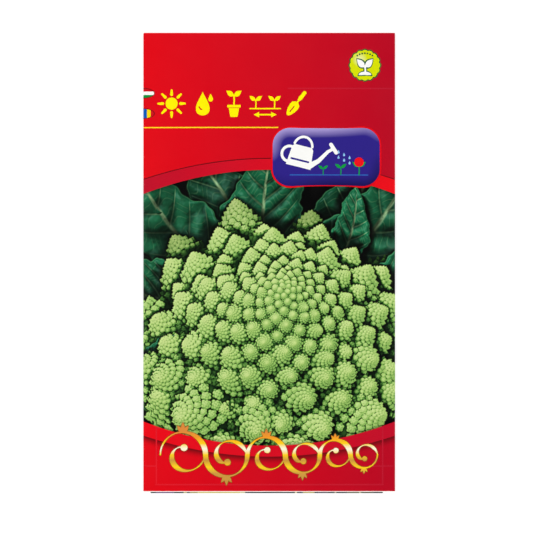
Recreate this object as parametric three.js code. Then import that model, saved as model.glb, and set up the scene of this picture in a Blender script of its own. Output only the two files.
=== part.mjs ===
// A paper seed packet lying on its back: one printed sheet, folded into a flat pouch and glued, with loose seeds in it.
// Millimetres. +Z comes out of the front face, +Y points to the packet's top edge, +X to the reader's right.
// The origin is the middle of the footprint, on the surface that the packet lies on.
import * as THREE from "three";

// Driving dimensions.
const packet = { width: 80, length: 146.3 };
const paper = 0.15; // thickness of the printed sheet
const glue = 0.04; // thickness of a dried line of paste
const slip = 0.01; // air between two layers that lie on each other
const crease = 0.06; // inner height of the tightest fold, at the side seam
const joint = 0.01; // gap where two panels of the sheet meet face to face

const bottomFlap = { depth: 15, leftInset: 2.2, rightInset: 3.8, taper: 4.5, corner: 3 };
const topFlap = { depth: 17, leftInset: 0.5, rightInset: 0.5, taper: 7.5, corner: 4.5 };
const seamLap = { depth: 12, endInset: 0.7, taper: 4, corner: 1 };
const backPanel = { shortOfSeam: 1, endInset: 0.3, corner: 0.6 };
const glueInset = 3; // from the edge of a glued flap to its paste

const belly = { height: 2.4, peakY: -12, sidePower: 2.4, endPower: 2.6 };
const frontGrid = { across: 20, along: 34 };
const bendSteps = 6; // facets round each fold
const cornerSteps = 4; // facets round each rounded corner

const seeds = { count: 50, radius: 0.95, spread: 0.07, squash: 0.94, pileX: 17, pileY: 28, spacing: 2.3 };

// Heights of the layers' undersides, from the surface up: the end flaps, the back, the seam's lap, the front's rim.
const flapLevel = 0;
const backLevel = flapLevel + paper + glue + 2 * slip;
const lapLevel = backLevel + paper + glue + 2 * slip;
const frontLevel = lapLevel + paper + crease;

// Outer radius of the fold that joins the front's rim to a layer lying at this level.
const foldRadius = (level) => (frontLevel + paper - level) / 2;
const leftFold = foldRadius(backLevel);
const rightFold = foldRadius(lapLevel);
const endFold = foldRadius(flapLevel);

const sides = {
  left: { out: [-1, 0], foldAt: packet.width / 2 - leftFold },
  right: { out: [1, 0], foldAt: packet.width / 2 - rightFold },
  bottom: { out: [0, -1], foldAt: packet.length / 2 - endFold },
  top: { out: [0, 1], foldAt: packet.length / 2 - endFold },
};

const finishes = {
  frontPrint: new THREE.MeshStandardMaterial({ color: 0xd01020, roughness: 0.4, metalness: 0 }),
  backPrint: new THREE.MeshStandardMaterial({ color: 0xf1ede2, roughness: 0.5, metalness: 0 }),
  paste: new THREE.MeshStandardMaterial({ color: 0xe8dcb4, roughness: 0.3, metalness: 0 }),
  seedCoat: new THREE.MeshStandardMaterial({ color: 0x4a2f22, roughness: 0.7, metalness: 0 }),
};

// A point beside one edge of the packet: lateral runs along the edge, reach outwards from the fold's centre line.
function besideEdge(side, lateral, reach, height) {
  const [outX, outY] = side.out;
  const distance = side.foldAt + reach;
  return [outX * distance - outY * lateral, outY * distance + outX * lateral, height];
}

// A closed geometry from points and faces, each face a list of corners in counter-clockwise order seen from outside.
function closedGeometry(points, faces) {
  const positions = [];
  for (const corners of faces) {
    for (let i = 1; i + 1 < corners.length; i++) {
      positions.push(...points[corners[0]], ...points[corners[i]], ...points[corners[i + 1]]);
    }
  }
  const geometry = new THREE.BufferGeometry();
  geometry.setAttribute("position", new THREE.Float32BufferAttribute(positions, 3));
  geometry.computeVertexNormals();
  return geometry;
}

// How far a flap's end lies inside the fold's own end, at this distance from the fold: a straight taper, then a round corner.
function endInset(flap, distance) {
  const straight = (flap.taper ?? 0) * (distance / flap.depth);
  const intoCorner = Math.max(0, distance - (flap.depth - flap.corner));
  const round = flap.corner - Math.sqrt(flap.corner ** 2 - intoCorner ** 2);
  return straight + round;
}

// A panel that leaves the front's rim at one edge, turns under through its fold and lies flat at its level.
// low and high are the lateral ends of the fold.
function foldedPanel(side, level, flap, low, high) {
  const radius = foldRadius(level);
  const centre = level + radius;
  const stations = [];
  for (let i = 0; i <= bendSteps; i++) {
    const angle = Math.PI / 2 - (Math.PI * i) / bendSteps;
    const [cos, sin] = [Math.cos(angle), Math.sin(angle)];
    const inner = radius - paper;
    stations.push({
      outer: [i ? radius * cos : joint, centre + radius * sin],
      inner: [i ? inner * cos : joint, centre + inner * sin],
      inset: 0,
    });
  }
  const cornerStart = flap.depth - flap.corner;
  for (let i = 0; i <= cornerSteps; i++) {
    const turn = (Math.PI / 2) * (i / cornerSteps);
    const distance = cornerStart + flap.corner * Math.sin(turn);
    stations.push({
      outer: [-distance, level],
      inner: [-distance, level + paper],
      inset: endInset(flap, distance),
    });
  }

  const points = [];
  for (const { outer, inner, inset } of stations) {
    points.push(besideEdge(side, low + inset, ...outer));
    points.push(besideEdge(side, high - inset, ...outer));
    points.push(besideEdge(side, high - inset, ...inner));
    points.push(besideEdge(side, low + inset, ...inner));
  }
  const faces = [[0, 1, 2, 3]];
  for (let s = 0; s + 1 < stations.length; s++) {
    const [here, next] = [4 * s, 4 * (s + 1)];
    for (let c = 0; c < 4; c++) {
      const d = (c + 1) % 4;
      faces.push([here + c, next + c, next + d, here + d]);
    }
  }
  const last = 4 * (stations.length - 1);
  faces.push([last + 3, last + 2, last + 1, last]);
  return closedGeometry(points, faces);
}

// How far the front stands above its own rim, pushed up by the seeds below it.
function bellyHeight(x, y) {
  const side = Math.abs(x) / (packet.width / 2);
  const toEnd = y > belly.peakY ? packet.length / 2 - belly.peakY : packet.length / 2 + belly.peakY;
  const end = Math.abs(y - belly.peakY) / toEnd;
  return belly.height * Math.max(0, 1 - side ** belly.sidePower) * Math.max(0, 1 - end ** belly.endPower);
}

function frontPanelGeometry() {
  const { across, along } = frontGrid;
  const [left, right] = [-sides.left.foldAt, sides.right.foldAt];
  const [bottom, top] = [-sides.bottom.foldAt, sides.top.foldAt];
  const points = [];
  for (const skin of [paper, 0]) {
    for (let j = 0; j <= along; j++) {
      for (let i = 0; i <= across; i++) {
        const x = left + ((right - left) * i) / across;
        const y = bottom + ((top - bottom) * j) / along;
        points.push([x, y, frontLevel + bellyHeight(x, y) + skin]);
      }
    }
  }
  const row = across + 1;
  const under = row * (along + 1);
  const faces = [];
  for (let j = 0; j < along; j++) {
    for (let i = 0; i < across; i++) {
      const a = j * row + i;
      faces.push([a, a + 1, a + row + 1, a + row]);
      faces.push([under + a, under + a + row, under + a + row + 1, under + a + 1]);
    }
  }
  const rim = [];
  for (let i = 0; i < across; i++) rim.push(i);
  for (let j = 0; j < along; j++) rim.push(j * row + across);
  for (let i = across; i > 0; i--) rim.push(along * row + i);
  for (let j = along; j > 0; j--) rim.push(j * row);
  rim.forEach((a, n) => {
    const b = rim[(n + 1) % rim.length];
    faces.push([under + a, under + b, b, a]);
  });
  return closedGeometry(points, faces);
}

function sheetPart(name, geometry, material) {
  const mesh = new THREE.Mesh(geometry, material);
  mesh.name = name;
  return mesh;
}

// A flat line of paste between two layers.
function pasteLine(name, width, length, x, y, level) {
  const mesh = new THREE.Mesh(new THREE.BoxGeometry(width, length, glue), finishes.paste);
  mesh.name = name;
  mesh.position.set(x, y, level + paper + slip + glue / 2);
  return mesh;
}

// The folded sheet, panel by panel.
function envelope() {
  const group = new THREE.Group();
  const halfWidth = packet.width / 2;
  const backEnd = sides.bottom.foldAt - backPanel.endInset;
  const backDepth = packet.width - leftFold - backPanel.shortOfSeam;
  const lapEnd = sides.bottom.foldAt - seamLap.endInset;
  group.add(
    sheetPart("front_panel", frontPanelGeometry(), finishes.frontPrint),
    sheetPart(
      "back_panel",
      foldedPanel(sides.left, backLevel, { ...backPanel, depth: backDepth }, -backEnd, backEnd),
      finishes.backPrint,
    ),
    sheetPart(
      "side_seam_lap",
      foldedPanel(sides.right, lapLevel, seamLap, -lapEnd, lapEnd),
      finishes.backPrint,
    ),
    sheetPart(
      "bottom_flap",
      foldedPanel(
        sides.bottom, flapLevel, bottomFlap, bottomFlap.leftInset - halfWidth, halfWidth - bottomFlap.rightInset,
      ),
      finishes.backPrint,
    ),
    sheetPart(
      "top_flap",
      foldedPanel(sides.top, flapLevel, topFlap, topFlap.rightInset - halfWidth, halfWidth - topFlap.leftInset),
      finishes.backPrint,
    ),
  );
  return group;
}

// The paste that holds the side seam and the two end flaps.
function pasteLines() {
  const group = new THREE.Group();
  const seamWidth = seamLap.depth - 2 * glueInset;
  const seamLength = packet.length - 2 * (seamLap.taper + glueInset);
  const seamX = packet.width / 2 - backPanel.shortOfSeam - glueInset - seamWidth / 2;
  group.add(pasteLine("side_seam_glue", seamWidth, seamLength, seamX, 0, backLevel));
  for (const [name, flap, direction] of [["bottom_flap_glue", bottomFlap, -1], ["top_flap_glue", topFlap, 1]]) {
    const width = packet.width - flap.leftInset - flap.rightInset - 2 * (flap.taper + glueInset);
    const length = flap.depth - 2 * glueInset;
    const x = (flap.leftInset - flap.rightInset) / 2;
    const y = direction * (sides.top.foldAt - glueInset - length / 2);
    group.add(pasteLine(name, width, length, x, y, flapLevel));
  }
  return group;
}

// A small fixed sequence of numbers between 0 and 1, so that the seeds lie the same way in every build.
function numberSequence(start) {
  let state = start;
  return () => {
    state = (state * 1664525 + 1013904223) % 4294967296;
    return state / 4294967296;
  };
}

// The seeds, spread in one layer on the back panel under the belly.
function seedPile() {
  const group = new THREE.Group();
  const next = numberSequence(7);
  const placed = [];
  while (placed.length < seeds.count) {
    const angle = 2 * Math.PI * next();
    const reach = Math.sqrt(next());
    const x = seeds.pileX * reach * Math.cos(angle);
    const y = belly.peakY + seeds.pileY * reach * Math.sin(angle);
    if (placed.every(([px, py]) => Math.hypot(px - x, py - y) > seeds.spacing)) placed.push([x, y]);
  }
  placed.forEach(([x, y], n) => {
    const radius = seeds.radius * (1 - seeds.spread + 2 * seeds.spread * next());
    const geometry = new THREE.IcosahedronGeometry(radius, 1);
    geometry.scale(1, 1, seeds.squash);
    const seed = new THREE.Mesh(geometry, finishes.seedCoat);
    seed.name = `seed_${String(n + 1).padStart(2, "0")}`;
    seed.position.set(x, y, backLevel + paper + 2 * slip + radius);
    seed.rotation.set(2 * Math.PI * next(), 2 * Math.PI * next(), 0);
    group.add(seed);
  });
  return group;
}

const seedPacket = new THREE.Group();
seedPacket.add(envelope(), pasteLines(), seedPile());
export default seedPacket;
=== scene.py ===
"""Finishes the paper seed packet: folds its sheet, prints it, and lights it on a pale table.

The printed pieces are laid out in flat sheet coordinates, u to the right and v up with the front's middle at
zero, and folded() carries them onto the folded sheet. Lengths are in metres.
"""
import math

import bpy
import numpy as np
from bpy.props import FloatProperty, FloatVectorProperty, IntProperty, PointerProperty
from mathutils.geometry import delaunay_2d_cdt
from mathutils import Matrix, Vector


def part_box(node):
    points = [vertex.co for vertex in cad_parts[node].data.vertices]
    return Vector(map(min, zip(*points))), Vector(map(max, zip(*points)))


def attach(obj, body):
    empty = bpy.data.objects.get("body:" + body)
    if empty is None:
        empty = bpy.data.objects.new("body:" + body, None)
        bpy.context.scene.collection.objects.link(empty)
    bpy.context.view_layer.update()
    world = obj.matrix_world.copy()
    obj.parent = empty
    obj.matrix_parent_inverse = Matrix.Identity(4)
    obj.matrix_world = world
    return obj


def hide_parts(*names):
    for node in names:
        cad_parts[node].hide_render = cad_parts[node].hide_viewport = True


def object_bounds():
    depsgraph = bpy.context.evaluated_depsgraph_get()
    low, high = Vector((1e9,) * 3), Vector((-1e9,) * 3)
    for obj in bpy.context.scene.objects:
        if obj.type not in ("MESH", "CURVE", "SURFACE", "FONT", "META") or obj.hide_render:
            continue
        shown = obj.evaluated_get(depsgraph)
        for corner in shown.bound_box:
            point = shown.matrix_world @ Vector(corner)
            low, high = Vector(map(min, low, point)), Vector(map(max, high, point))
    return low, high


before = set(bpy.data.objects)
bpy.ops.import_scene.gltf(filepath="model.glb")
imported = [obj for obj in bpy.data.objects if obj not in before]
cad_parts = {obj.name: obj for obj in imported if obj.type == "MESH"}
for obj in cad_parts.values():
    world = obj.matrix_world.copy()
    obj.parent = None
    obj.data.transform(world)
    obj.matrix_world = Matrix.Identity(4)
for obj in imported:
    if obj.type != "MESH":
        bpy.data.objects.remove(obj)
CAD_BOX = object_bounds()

bl_info = {
    "name": "Seed packet",
    "version": (1, 0, 0),
    "blender": (4, 5, 0),
    "location": "View3D > Sidebar > Seed packet",
    "description": "Folds, prints and lights a paper seed packet round its packed frame",
    "category": "Object",
}

MM = 0.001
SPECK = 1e-3 * MM  # a length too short to matter
GOLDEN_ANGLE = math.pi * (3 - math.sqrt(5))
BODY = "root"
INK_STRENGTH = 0.865  # the share of an ink's full brightness that it keeps on this paper


# ---------------------------------------------------------------- the folded sheet

class Fold:
    """An edge where the sheet turns under by half a turn.

    It knows where the bend starts, its outer radius, the height of its centre and the length of its outside.
    """

    def __init__(self, node, start):
        low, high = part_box(node)
        self.start = start
        self.radius = (high.z - low.z) / 2
        self.centre = (high.z + low.z) / 2
        self.arc = math.pi * self.radius

    def turned(self, beyond, lift):
        """Distance from the sheet's middle, and height, of a point this far past the start of the bend."""
        angle = np.clip(beyond / self.radius, 0, math.pi)
        flat = np.maximum(beyond - self.arc, 0)
        reach = self.start + (self.radius + lift) * np.sin(angle) - flat
        return reach, self.centre + (self.radius + lift) * np.cos(angle)


FRONT_LOW, FRONT_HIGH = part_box("front_panel")
LEFT = Fold("back_panel", -FRONT_LOW.x)
RIGHT = Fold("side_seam_lap", FRONT_HIGH.x)
BOTTOM = Fold("bottom_flap", -FRONT_LOW.y)
TOP = Fold("top_flap", FRONT_HIGH.y)
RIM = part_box("back_panel")[1].z
PAPER = RIM - FRONT_LOW.z
BELLY_HEIGHT = FRONT_HIGH.z - RIM
BELLY_PEAK = -12 * MM  # where along the front the belly is highest
BELLY_SIDE_POWER, BELLY_END_POWER = 2.4, 2.6  # the belly falls to its rim by these powers
FLAT_RIM = 6 * MM  # over this distance from the folds the front's waves and creases grow from nothing
CREASE_FANS = (  # the corner's side across and along, the fan's turn in radians, and its number of creases
    (-1, -1, 0.4, 7), (1, -1, 2.0, 8), (-1, 1, 1.2, 8), (1, 1, 3.3, 7),
)
CREASE_MIDDLE = 17 * MM  # how far from their corner the creases are deepest
CREASE_REACH = 11 * MM  # how far from there they fade
CREASE_HUB = 4 * MM  # how far beyond the packet's end the lines of a fan meet
WAVE_ACROSS, WAVE_ALONG, WAVE_DRIFT = 9.1 * MM, 13 * MM, 23 * MM  # the slow waves' lengths, over two pi
SEED_BUMP_RADIUS = 1.1 * MM

TOP_FLAP_OVERHANG = 0.24 * MM, 0.14 * MM  # how far it goes past the starts of the left and right folds
CORNER_SLIT = 0.012 * MM  # the cut between a side panel's end and the fold at the packet's end
PANEL_CUTS = {  # each panel's die cut: the radius of its free corners, and how far its ends taper in
    "bottom_flap": (3 * MM, 4.5 * MM), "top_flap": (4.5 * MM, 7.5 * MM),
    "back_panel": (0.6 * MM, 0), "side_seam_lap": (1 * MM, 4 * MM),
}
BEND_STATIONS = 13
PANEL_GRID = 2.5 * MM
CREASE_ANGLE = 40  # degrees between two faces beyond which their shared edge is sharp

SEED_NODES = sorted(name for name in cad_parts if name.startswith("seed_"))
GLUE_NODES = [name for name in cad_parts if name.endswith("_glue")]
PANEL_NODES = ["front_panel", "back_panel", "side_seam_lap", "bottom_flap", "top_flap"]
SEED_PLACES = np.array([(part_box(name)[0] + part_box(name)[1]) / 2 for name in SEED_NODES])


def soft_step(value, low, high):
    """0 below low, 1 above high, and a smooth ramp between them."""
    t = np.clip((value - low) / (high - low), 0, 1)
    return t * t * (3 - 2 * t)


def front_rise(x, y):
    """How far the front stands above its rim: the belly, waves, corner creases and faint bumps over seeds."""
    look = bpy.context.scene.packet_paper
    side = np.abs(x) / np.where(x < 0, LEFT.start, RIGHT.start)
    to_end = np.where(y > BELLY_PEAK, TOP.start - BELLY_PEAK, BOTTOM.start + BELLY_PEAK)
    end = np.abs(y - BELLY_PEAK) / to_end
    body = np.clip(1 - side ** BELLY_SIDE_POWER, 0, 1) * np.clip(1 - end ** BELLY_END_POWER, 0, 1)
    rise = BELLY_HEIGHT * body
    inside = soft_step(np.clip(1 - side, 0, 1) * LEFT.start, 0, FLAT_RIM)
    inside = inside * soft_step(np.clip(1 - end, 0, 1) * TOP.start, 0, FLAT_RIM)
    creases = 0
    for sign_x, sign_y, turn, count in CREASE_FANS:
        across = LEFT.start - sign_x * x
        along = TOP.start - sign_y * y
        away = np.hypot(across, along)
        fan = np.cos(count * np.arctan2(across, along + CREASE_HUB) + turn)
        creases = creases + fan * np.exp(-((away - CREASE_MIDDLE) / CREASE_REACH) ** 2)
    waves = np.sin(x / WAVE_ACROSS + 1.7 * np.sin(y / WAVE_DRIFT)) * np.sin(y / WAVE_ALONG + 0.6)
    rise = rise + inside * (look.crease * creases + look.wave * waves)
    bumps = 0
    for seed in SEED_PLACES:
        bumps = bumps + np.exp(-((x - seed[0]) ** 2 + (y - seed[1]) ** 2) / SEED_BUMP_RADIUS ** 2)
    return rise + inside * look.seed_bump * bumps


def folded(u, v, lift):
    """Places of flat sheet points on the folded sheet, raised by lift from its printed side."""
    u, v, lift = np.broadcast_arrays(np.asarray(u, float), np.asarray(v, float), lift)
    x = np.clip(u, -LEFT.start, RIGHT.start)
    y = np.clip(v, -BOTTOM.start, TOP.start)
    step = 0.1 * MM
    slope_x = (front_rise(x + step, y) - front_rise(x - step, y)) / (2 * step)
    slope_y = (front_rise(x, y + step) - front_rise(x, y - step)) / (2 * step)
    length = np.sqrt(1 + slope_x ** 2 + slope_y ** 2)
    up = RIM + front_rise(x, y) + lift / length
    place = np.stack([x - lift * slope_x / length, y - lift * slope_y / length, up])
    for fold, axis, sign, coordinate in (
        (LEFT, 0, -1, u), (RIGHT, 0, 1, u), (BOTTOM, 1, -1, v), (TOP, 1, 1, v),
    ):
        beyond = sign * coordinate - fold.start
        past = beyond > 1e-9
        reach, height = fold.turned(beyond, lift)
        place[axis] = np.where(past, sign * reach, place[axis])
        place[2] = np.where(past, height, place[2])
    return np.moveaxis(place, 0, -1)


# ---------------------------------------------------------------- meshes

def add_piece(name, points, faces, material):
    """A new object from points and groups of faces; a group is an array with one face a row."""
    mesh = bpy.data.meshes.new(name)
    mesh.vertices.add(len(points))
    mesh.vertices.foreach_set("co", np.asarray(points, np.float32).ravel())
    corners = np.concatenate([np.asarray(group).ravel() for group in faces]).astype(np.int32)
    sizes = np.concatenate([np.full(len(group), np.shape(group)[1]) for group in faces]).astype(np.int32)
    mesh.loops.add(len(corners))
    mesh.loops.foreach_set("vertex_index", corners)
    mesh.polygons.add(len(sizes))
    mesh.polygons.foreach_set("loop_start", np.concatenate([[0], np.cumsum(sizes)[:-1]]).astype(np.int32))
    mesh.update(calc_edges=True)
    if mesh.validate():
        raise RuntimeError(f"{name}: its mesh has faces or edges that had to be dropped")
    mesh.materials.append(material)
    piece = bpy.data.objects.new(name, mesh)
    bpy.context.scene.collection.objects.link(piece)
    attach(piece, BODY)
    return piece


def rim_faces(groups, count):
    """Quads from the open edges of a layer to those of the layer below, whose points come count later."""
    edges = []
    for group in groups:
        group = np.asarray(group)
        for corner in range(group.shape[1]):
            edges.append(np.stack([group[:, corner], group[:, (corner + 1) % group.shape[1]]], -1))
    edges = np.concatenate(edges)
    forward = edges[:, 0] * count + edges[:, 1]
    backward = edges[:, 1] * count + edges[:, 0]
    start, end = edges[~np.isin(forward, backward)].T
    return np.stack([end, start, start + count, end + count], -1)


def closed_sheet(name, flat, groups, top, bottom, material):
    """A thin closed solid on the folded sheet, between two lifts, from flat, counter-clockwise faces."""
    flat = np.asarray(flat, float)
    points = np.concatenate([folded(flat[:, 0], flat[:, 1], top), folded(flat[:, 0], flat[:, 1], bottom)])
    count = len(flat)
    lower = [np.asarray(group)[:, ::-1] + count for group in groups]
    return add_piece(name, points, [*groups, *lower, rim_faces(groups, count)], material)


def crease_edges(piece, angle):
    """Smooth shading with sharp edges where faces meet at more than this angle."""
    piece.data.polygons.foreach_set("use_smooth", np.ones(len(piece.data.polygons), bool))
    piece.data.set_sharp_from_angle(angle=math.radians(angle))


def merged(points, faces, tolerance):
    """The points with those closer than the tolerance made one, and the faces on what is left."""
    _, first, same = np.unique(np.round(points / tolerance), axis=0, return_index=True, return_inverse=True)
    return points[first], same.reshape(-1)[faces]


def counter_clockwise(points, triangles, smallest=0.0):
    """The flat triangles of more than the smallest area, all turned the same way."""
    a, b, c = (points[triangles[:, corner]] for corner in range(3))
    area = ((b[:, 0] - a[:, 0]) * (c[:, 1] - a[:, 1]) - (b[:, 1] - a[:, 1]) * (c[:, 0] - a[:, 0])) / 2
    kept, area = triangles[np.abs(area) > smallest], area[np.abs(area) > smallest]
    kept[area < 0] = kept[area < 0][:, ::-1]
    return kept


class Patchwork:
    """Grids of flat points that share the points where they meet."""

    def __init__(self):
        self.points, self.faces = [], []

    def add(self, u, v):
        u, v = np.broadcast_arrays(u, v)
        rows, columns = u.shape
        first = sum(map(len, self.points))
        index = np.arange(rows * columns).reshape(rows, columns) + first
        self.points.append(np.stack([u.ravel(), v.ravel()], -1))
        corners = [index[:-1, :-1], index[:-1, 1:], index[1:, 1:], index[1:, :-1]]
        self.faces.append(np.stack([c.ravel() for c in corners], -1))

    def joined(self):
        return merged(np.concatenate(self.points), np.concatenate(self.faces), SPECK)


def stations(low, high, spacing, *wanted):
    """Evenly spaced values from low to high, with the wanted ones among them."""
    marks = [low]
    for mark in sorted(wanted):
        if marks[-1] + 0.01 * MM < mark < high - 0.01 * MM:
            marks.append(mark)
    marks.append(high)
    runs = [np.linspace(a, b, max(2, math.ceil((b - a) / spacing) + 1)) for a, b in zip(marks, marks[1:])]
    return np.unique(np.concatenate(runs))


def panel_layout(fold, depth, corner, taper, *marks):
    """Distances past the bend's start for a folded panel's grid, and how far its ends draw in at each."""
    bend = np.linspace(0, fold.arc, BEND_STATIONS)
    flat = stations(0, depth - corner, PANEL_GRID, *marks)[1:]
    turn = np.linspace(0, math.pi / 2, 7)[1:]
    rounded = depth - corner + corner * np.sin(turn)
    inset = np.concatenate([
        np.zeros(len(bend)), taper * flat / depth, taper * rounded / depth + corner * (1 - np.cos(turn)),
    ])
    return np.concatenate([bend, fold.arc + flat, fold.arc + rounded]), inset


def paper_layout(look, wrap):
    """The flat sheet as it is die cut: the front, with the back, the seam's lap and the end flaps round it.

    The print goes wrap past the start of each side fold, and the grid has a line there.
    """
    bottom_low, bottom_high = (corner.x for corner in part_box("bottom_flap"))
    top_low, top_high = -LEFT.start - TOP_FLAP_OVERHANG[0], RIGHT.start + TOP_FLAP_OVERHANG[1]
    side_end = TOP.start - CORNER_SLIT
    print_end = -BOTTOM.start + look.unprinted_edge
    us = stations(-LEFT.start, RIGHT.start, look.grid, bottom_low, bottom_high)
    vs = stations(-BOTTOM.start, TOP.start, look.grid, -side_end, side_end, print_end)
    sheet = Patchwork()
    sheet.add(us[None, :], vs[:, None])
    for fold, node, sign, low, high in (
        (BOTTOM, "bottom_flap", -1, bottom_low, bottom_high), (TOP, "top_flap", 1, top_low, top_high),
    ):
        depth = fold.start - min(abs(corner.y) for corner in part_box(node))
        beyond, inset = panel_layout(fold, depth, *PANEL_CUTS[node])
        columns = np.unique(np.clip(us, low, high) if sign < 0 else [low, *us, high])
        share = (columns - low) / (high - low)
        u = low + inset[:, None] + share[None, :] * (high - low - 2 * inset[:, None])
        v = np.broadcast_to(sign * (fold.start + beyond)[:, None], u.shape)
        order = slice(None, None, sign)
        sheet.add(u[order], v[order])
    beside = vs[np.abs(vs) < side_end + SPECK]
    for fold, node, sign in ((LEFT, "back_panel", -1), (RIGHT, "side_seam_lap", 1)):
        low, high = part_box(node)
        depth = fold.start + (high.x if sign < 0 else -low.x)
        beyond, inset = panel_layout(fold, depth, *PANEL_CUTS[node], wrap - fold.arc)
        share = (beside + side_end) / (2 * side_end)
        v = -side_end + inset[None, :] + share[:, None] * (2 * side_end - 2 * inset[None, :])
        u = np.broadcast_to(sign * (fold.start + beyond)[None, :], v.shape)
        order = slice(None, None, sign)
        sheet.add(u[:, order], v[:, order])
    return sheet.joined()


# ---------------------------------------------------------------- outlines of printed shapes

def around(turns):
    """Points of the unit circle at these turns, in radians."""
    return np.stack([np.cos(turns), np.sin(turns)], -1)


def arc(start, end, count):
    """Evenly spaced points of the unit circle between two turns in degrees."""
    return around(np.radians(np.linspace(start, end, count)))


def heading(degrees):
    """The unit vector that is turned this many degrees from the u axis."""
    return np.array([math.cos(math.radians(degrees)), math.sin(math.radians(degrees))])


def circle(centre, radius, count):
    return centre + radius * around(np.linspace(0, 2 * math.pi, count, endpoint=False))


def scalloped(centre, radius, lobes, depth):
    """A circle whose edge is a row of round lobes, with notches as deep as this share of the radius."""
    turns = np.linspace(0, 2 * math.pi, 168, endpoint=False)
    reach = radius * (1 - depth * (1 - np.abs(np.cos(lobes * turns / 2))))
    return centre + reach[:, None] * around(turns)


def rounded_box(centre, width, height, radius, count=8):
    turns = np.linspace(0, math.pi / 2, count)
    corners = []
    for quarter, (x, y) in enumerate([(1, 1), (-1, 1), (-1, -1), (1, -1)]):
        middle = centre + np.array([x * (width / 2 - radius), y * (height / 2 - radius)])
        corners.append(middle + radius * around(turns + quarter * math.pi / 2))
    return np.concatenate(corners)


def polygon(*corners):
    return np.array(corners, float)


def stroke(path, half_width):
    """The outline of a line of this half width, which may change along the path, with round ends."""
    path = np.asarray(path, float)
    half = np.broadcast_to(np.asarray(half_width, float), len(path))
    along = np.gradient(path, axis=0)
    along = along / np.linalg.norm(along, axis=1, keepdims=True)
    side = np.stack([-along[:, 1], along[:, 0]], -1)
    turn = np.linspace(0, math.pi, 8)[1:-1, None]
    end = path[-1] + half[-1] * (side[-1] * np.cos(turn) + along[-1] * np.sin(turn))
    start = path[0] - half[0] * (side[0] * np.cos(turn) + along[0] * np.sin(turn))
    return np.concatenate([
        path + side * half[:, None], end, (path - side * half[:, None])[::-1], start,
    ])


def line(start, end, half_width, count=6):
    return stroke(np.linspace(start, end, count), half_width)


def leaf_outline(base, length, width, turn, curve):
    """A pointed leaf from its base, turned this many degrees from the u axis."""
    t = np.linspace(0, 1, 16)
    spread = width / 2 * np.sin(math.pi * t ** 0.85)
    middle = curve * length * t ** 2
    u = np.concatenate([t, t[-2:0:-1]]) * length
    v = np.concatenate([middle + spread, (middle - spread)[-2:0:-1]])
    c, s = heading(turn)
    return np.stack([base[0] + c * u - s * v, base[1] + s * u + c * v], -1)


def stripe_of_circle(low, high, upright):
    """The part of a unit circle between two parallel lines, which count from the left or from the top."""
    upper = around(np.linspace(math.acos(high), math.acos(low), 14))
    lower = (upper * [1, -1])[::-1]
    edge = np.concatenate([upper, lower[lower[:, 1] < -1e-6]])
    return edge if upright else np.stack([edge[:, 1], -edge[:, 0]], -1)


def densely(loop, spacing):
    """The same outline with points no further apart than the spacing."""
    runs = []
    for a, b in zip(loop, np.roll(loop, -1, axis=0)):
        steps = max(1, math.ceil(np.linalg.norm(b - a) / spacing))
        runs.append(a + np.arange(steps)[:, None] / steps * (b - a))
    return np.concatenate(runs)


def enclosed(points, shapes):
    """Which points lie inside any shape. A shape is a list of loops; a loop inside another is a hole."""
    found = np.zeros(len(points), bool)
    x, y = points[:, :1], points[:, 1:]
    for loops in shapes:
        odd = np.zeros(len(points), bool)
        for loop in loops:
            ax, ay = loop[:, 0], loop[:, 1]
            bx, by = np.roll(ax, -1), np.roll(ay, -1)
            spans = (ay > y) != (by > y)
            with np.errstate(divide="ignore", invalid="ignore"):
                crossing = ax + (y - ay) * (bx - ax) / (by - ay)
            odd ^= (np.count_nonzero(spans & (x < crossing), axis=1) % 2).astype(bool)
        found |= odd
    return found


def shape_layout(shapes, spacing):
    """Flat points and triangles that fill the shapes, with inner points that let them follow the sheet."""
    loops = [loop for loops in shapes for loop in loops]
    outline = np.concatenate(loops)
    edges, first = [], 0
    for loop in loops:
        ring = np.arange(len(loop)) + first
        edges += np.stack([ring, np.roll(ring, -1)], -1).tolist()
        first += len(loop)
    low, high = outline.min(0), outline.max(0)
    us = np.arange(low[0] + spacing / 2, high[0], spacing)
    vs = np.arange(low[1] + spacing / 2, high[1], spacing)
    inner = np.stack(np.meshgrid(us, vs), -1).reshape(-1, 2)
    if len(inner):
        inner = inner[enclosed(inner, shapes)]
    if len(inner):
        gap = np.min(np.linalg.norm(inner[:, None] - outline[None], axis=-1), axis=1)
        inner = inner[gap > 0.45 * spacing]
    points = np.concatenate([outline, inner]) / MM
    verts, _, faces, _, _, _ = delaunay_2d_cdt(points.tolist(), edges, [], 1, 1e-5)
    verts = np.array(verts, float) * MM
    faces = np.array([f for f in faces if len(f) == 3])
    a, b, c = verts[faces[:, 0]], verts[faces[:, 1]], verts[faces[:, 2]]
    faces = counter_clockwise(verts, faces[enclosed((a + b + c) / 3, shapes)], SPECK ** 2 / 2)
    used, same = np.unique(faces, return_inverse=True)
    return verts[used], same.reshape(faces.shape)


def numeral_layout(text, centre, size):
    """Flat points and triangles of a number, in the font that comes with Blender."""
    curve = bpy.data.curves.new("numeral", "FONT")
    curve.body, curve.size, curve.resolution_u = text, size / MM, 4
    curve.align_x, curve.align_y = "CENTER", "CENTER"
    holder = bpy.data.objects.new("numeral", curve)
    mesh = bpy.data.meshes.new_from_object(holder)
    points = np.array([v.co[:2] for v in mesh.vertices]) * MM + centre
    mesh.calc_loop_triangles()
    faces = np.array([t.vertices[:] for t in mesh.loop_triangles])
    bpy.data.meshes.remove(mesh)
    bpy.data.objects.remove(holder)
    bpy.data.curves.remove(curve)
    points, faces = merged(points, faces, SPECK / 100)
    return points, counter_clockwise(points, faces, (SPECK / 10) ** 2 / 2)


# ---------------------------------------------------------------- printing

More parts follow.
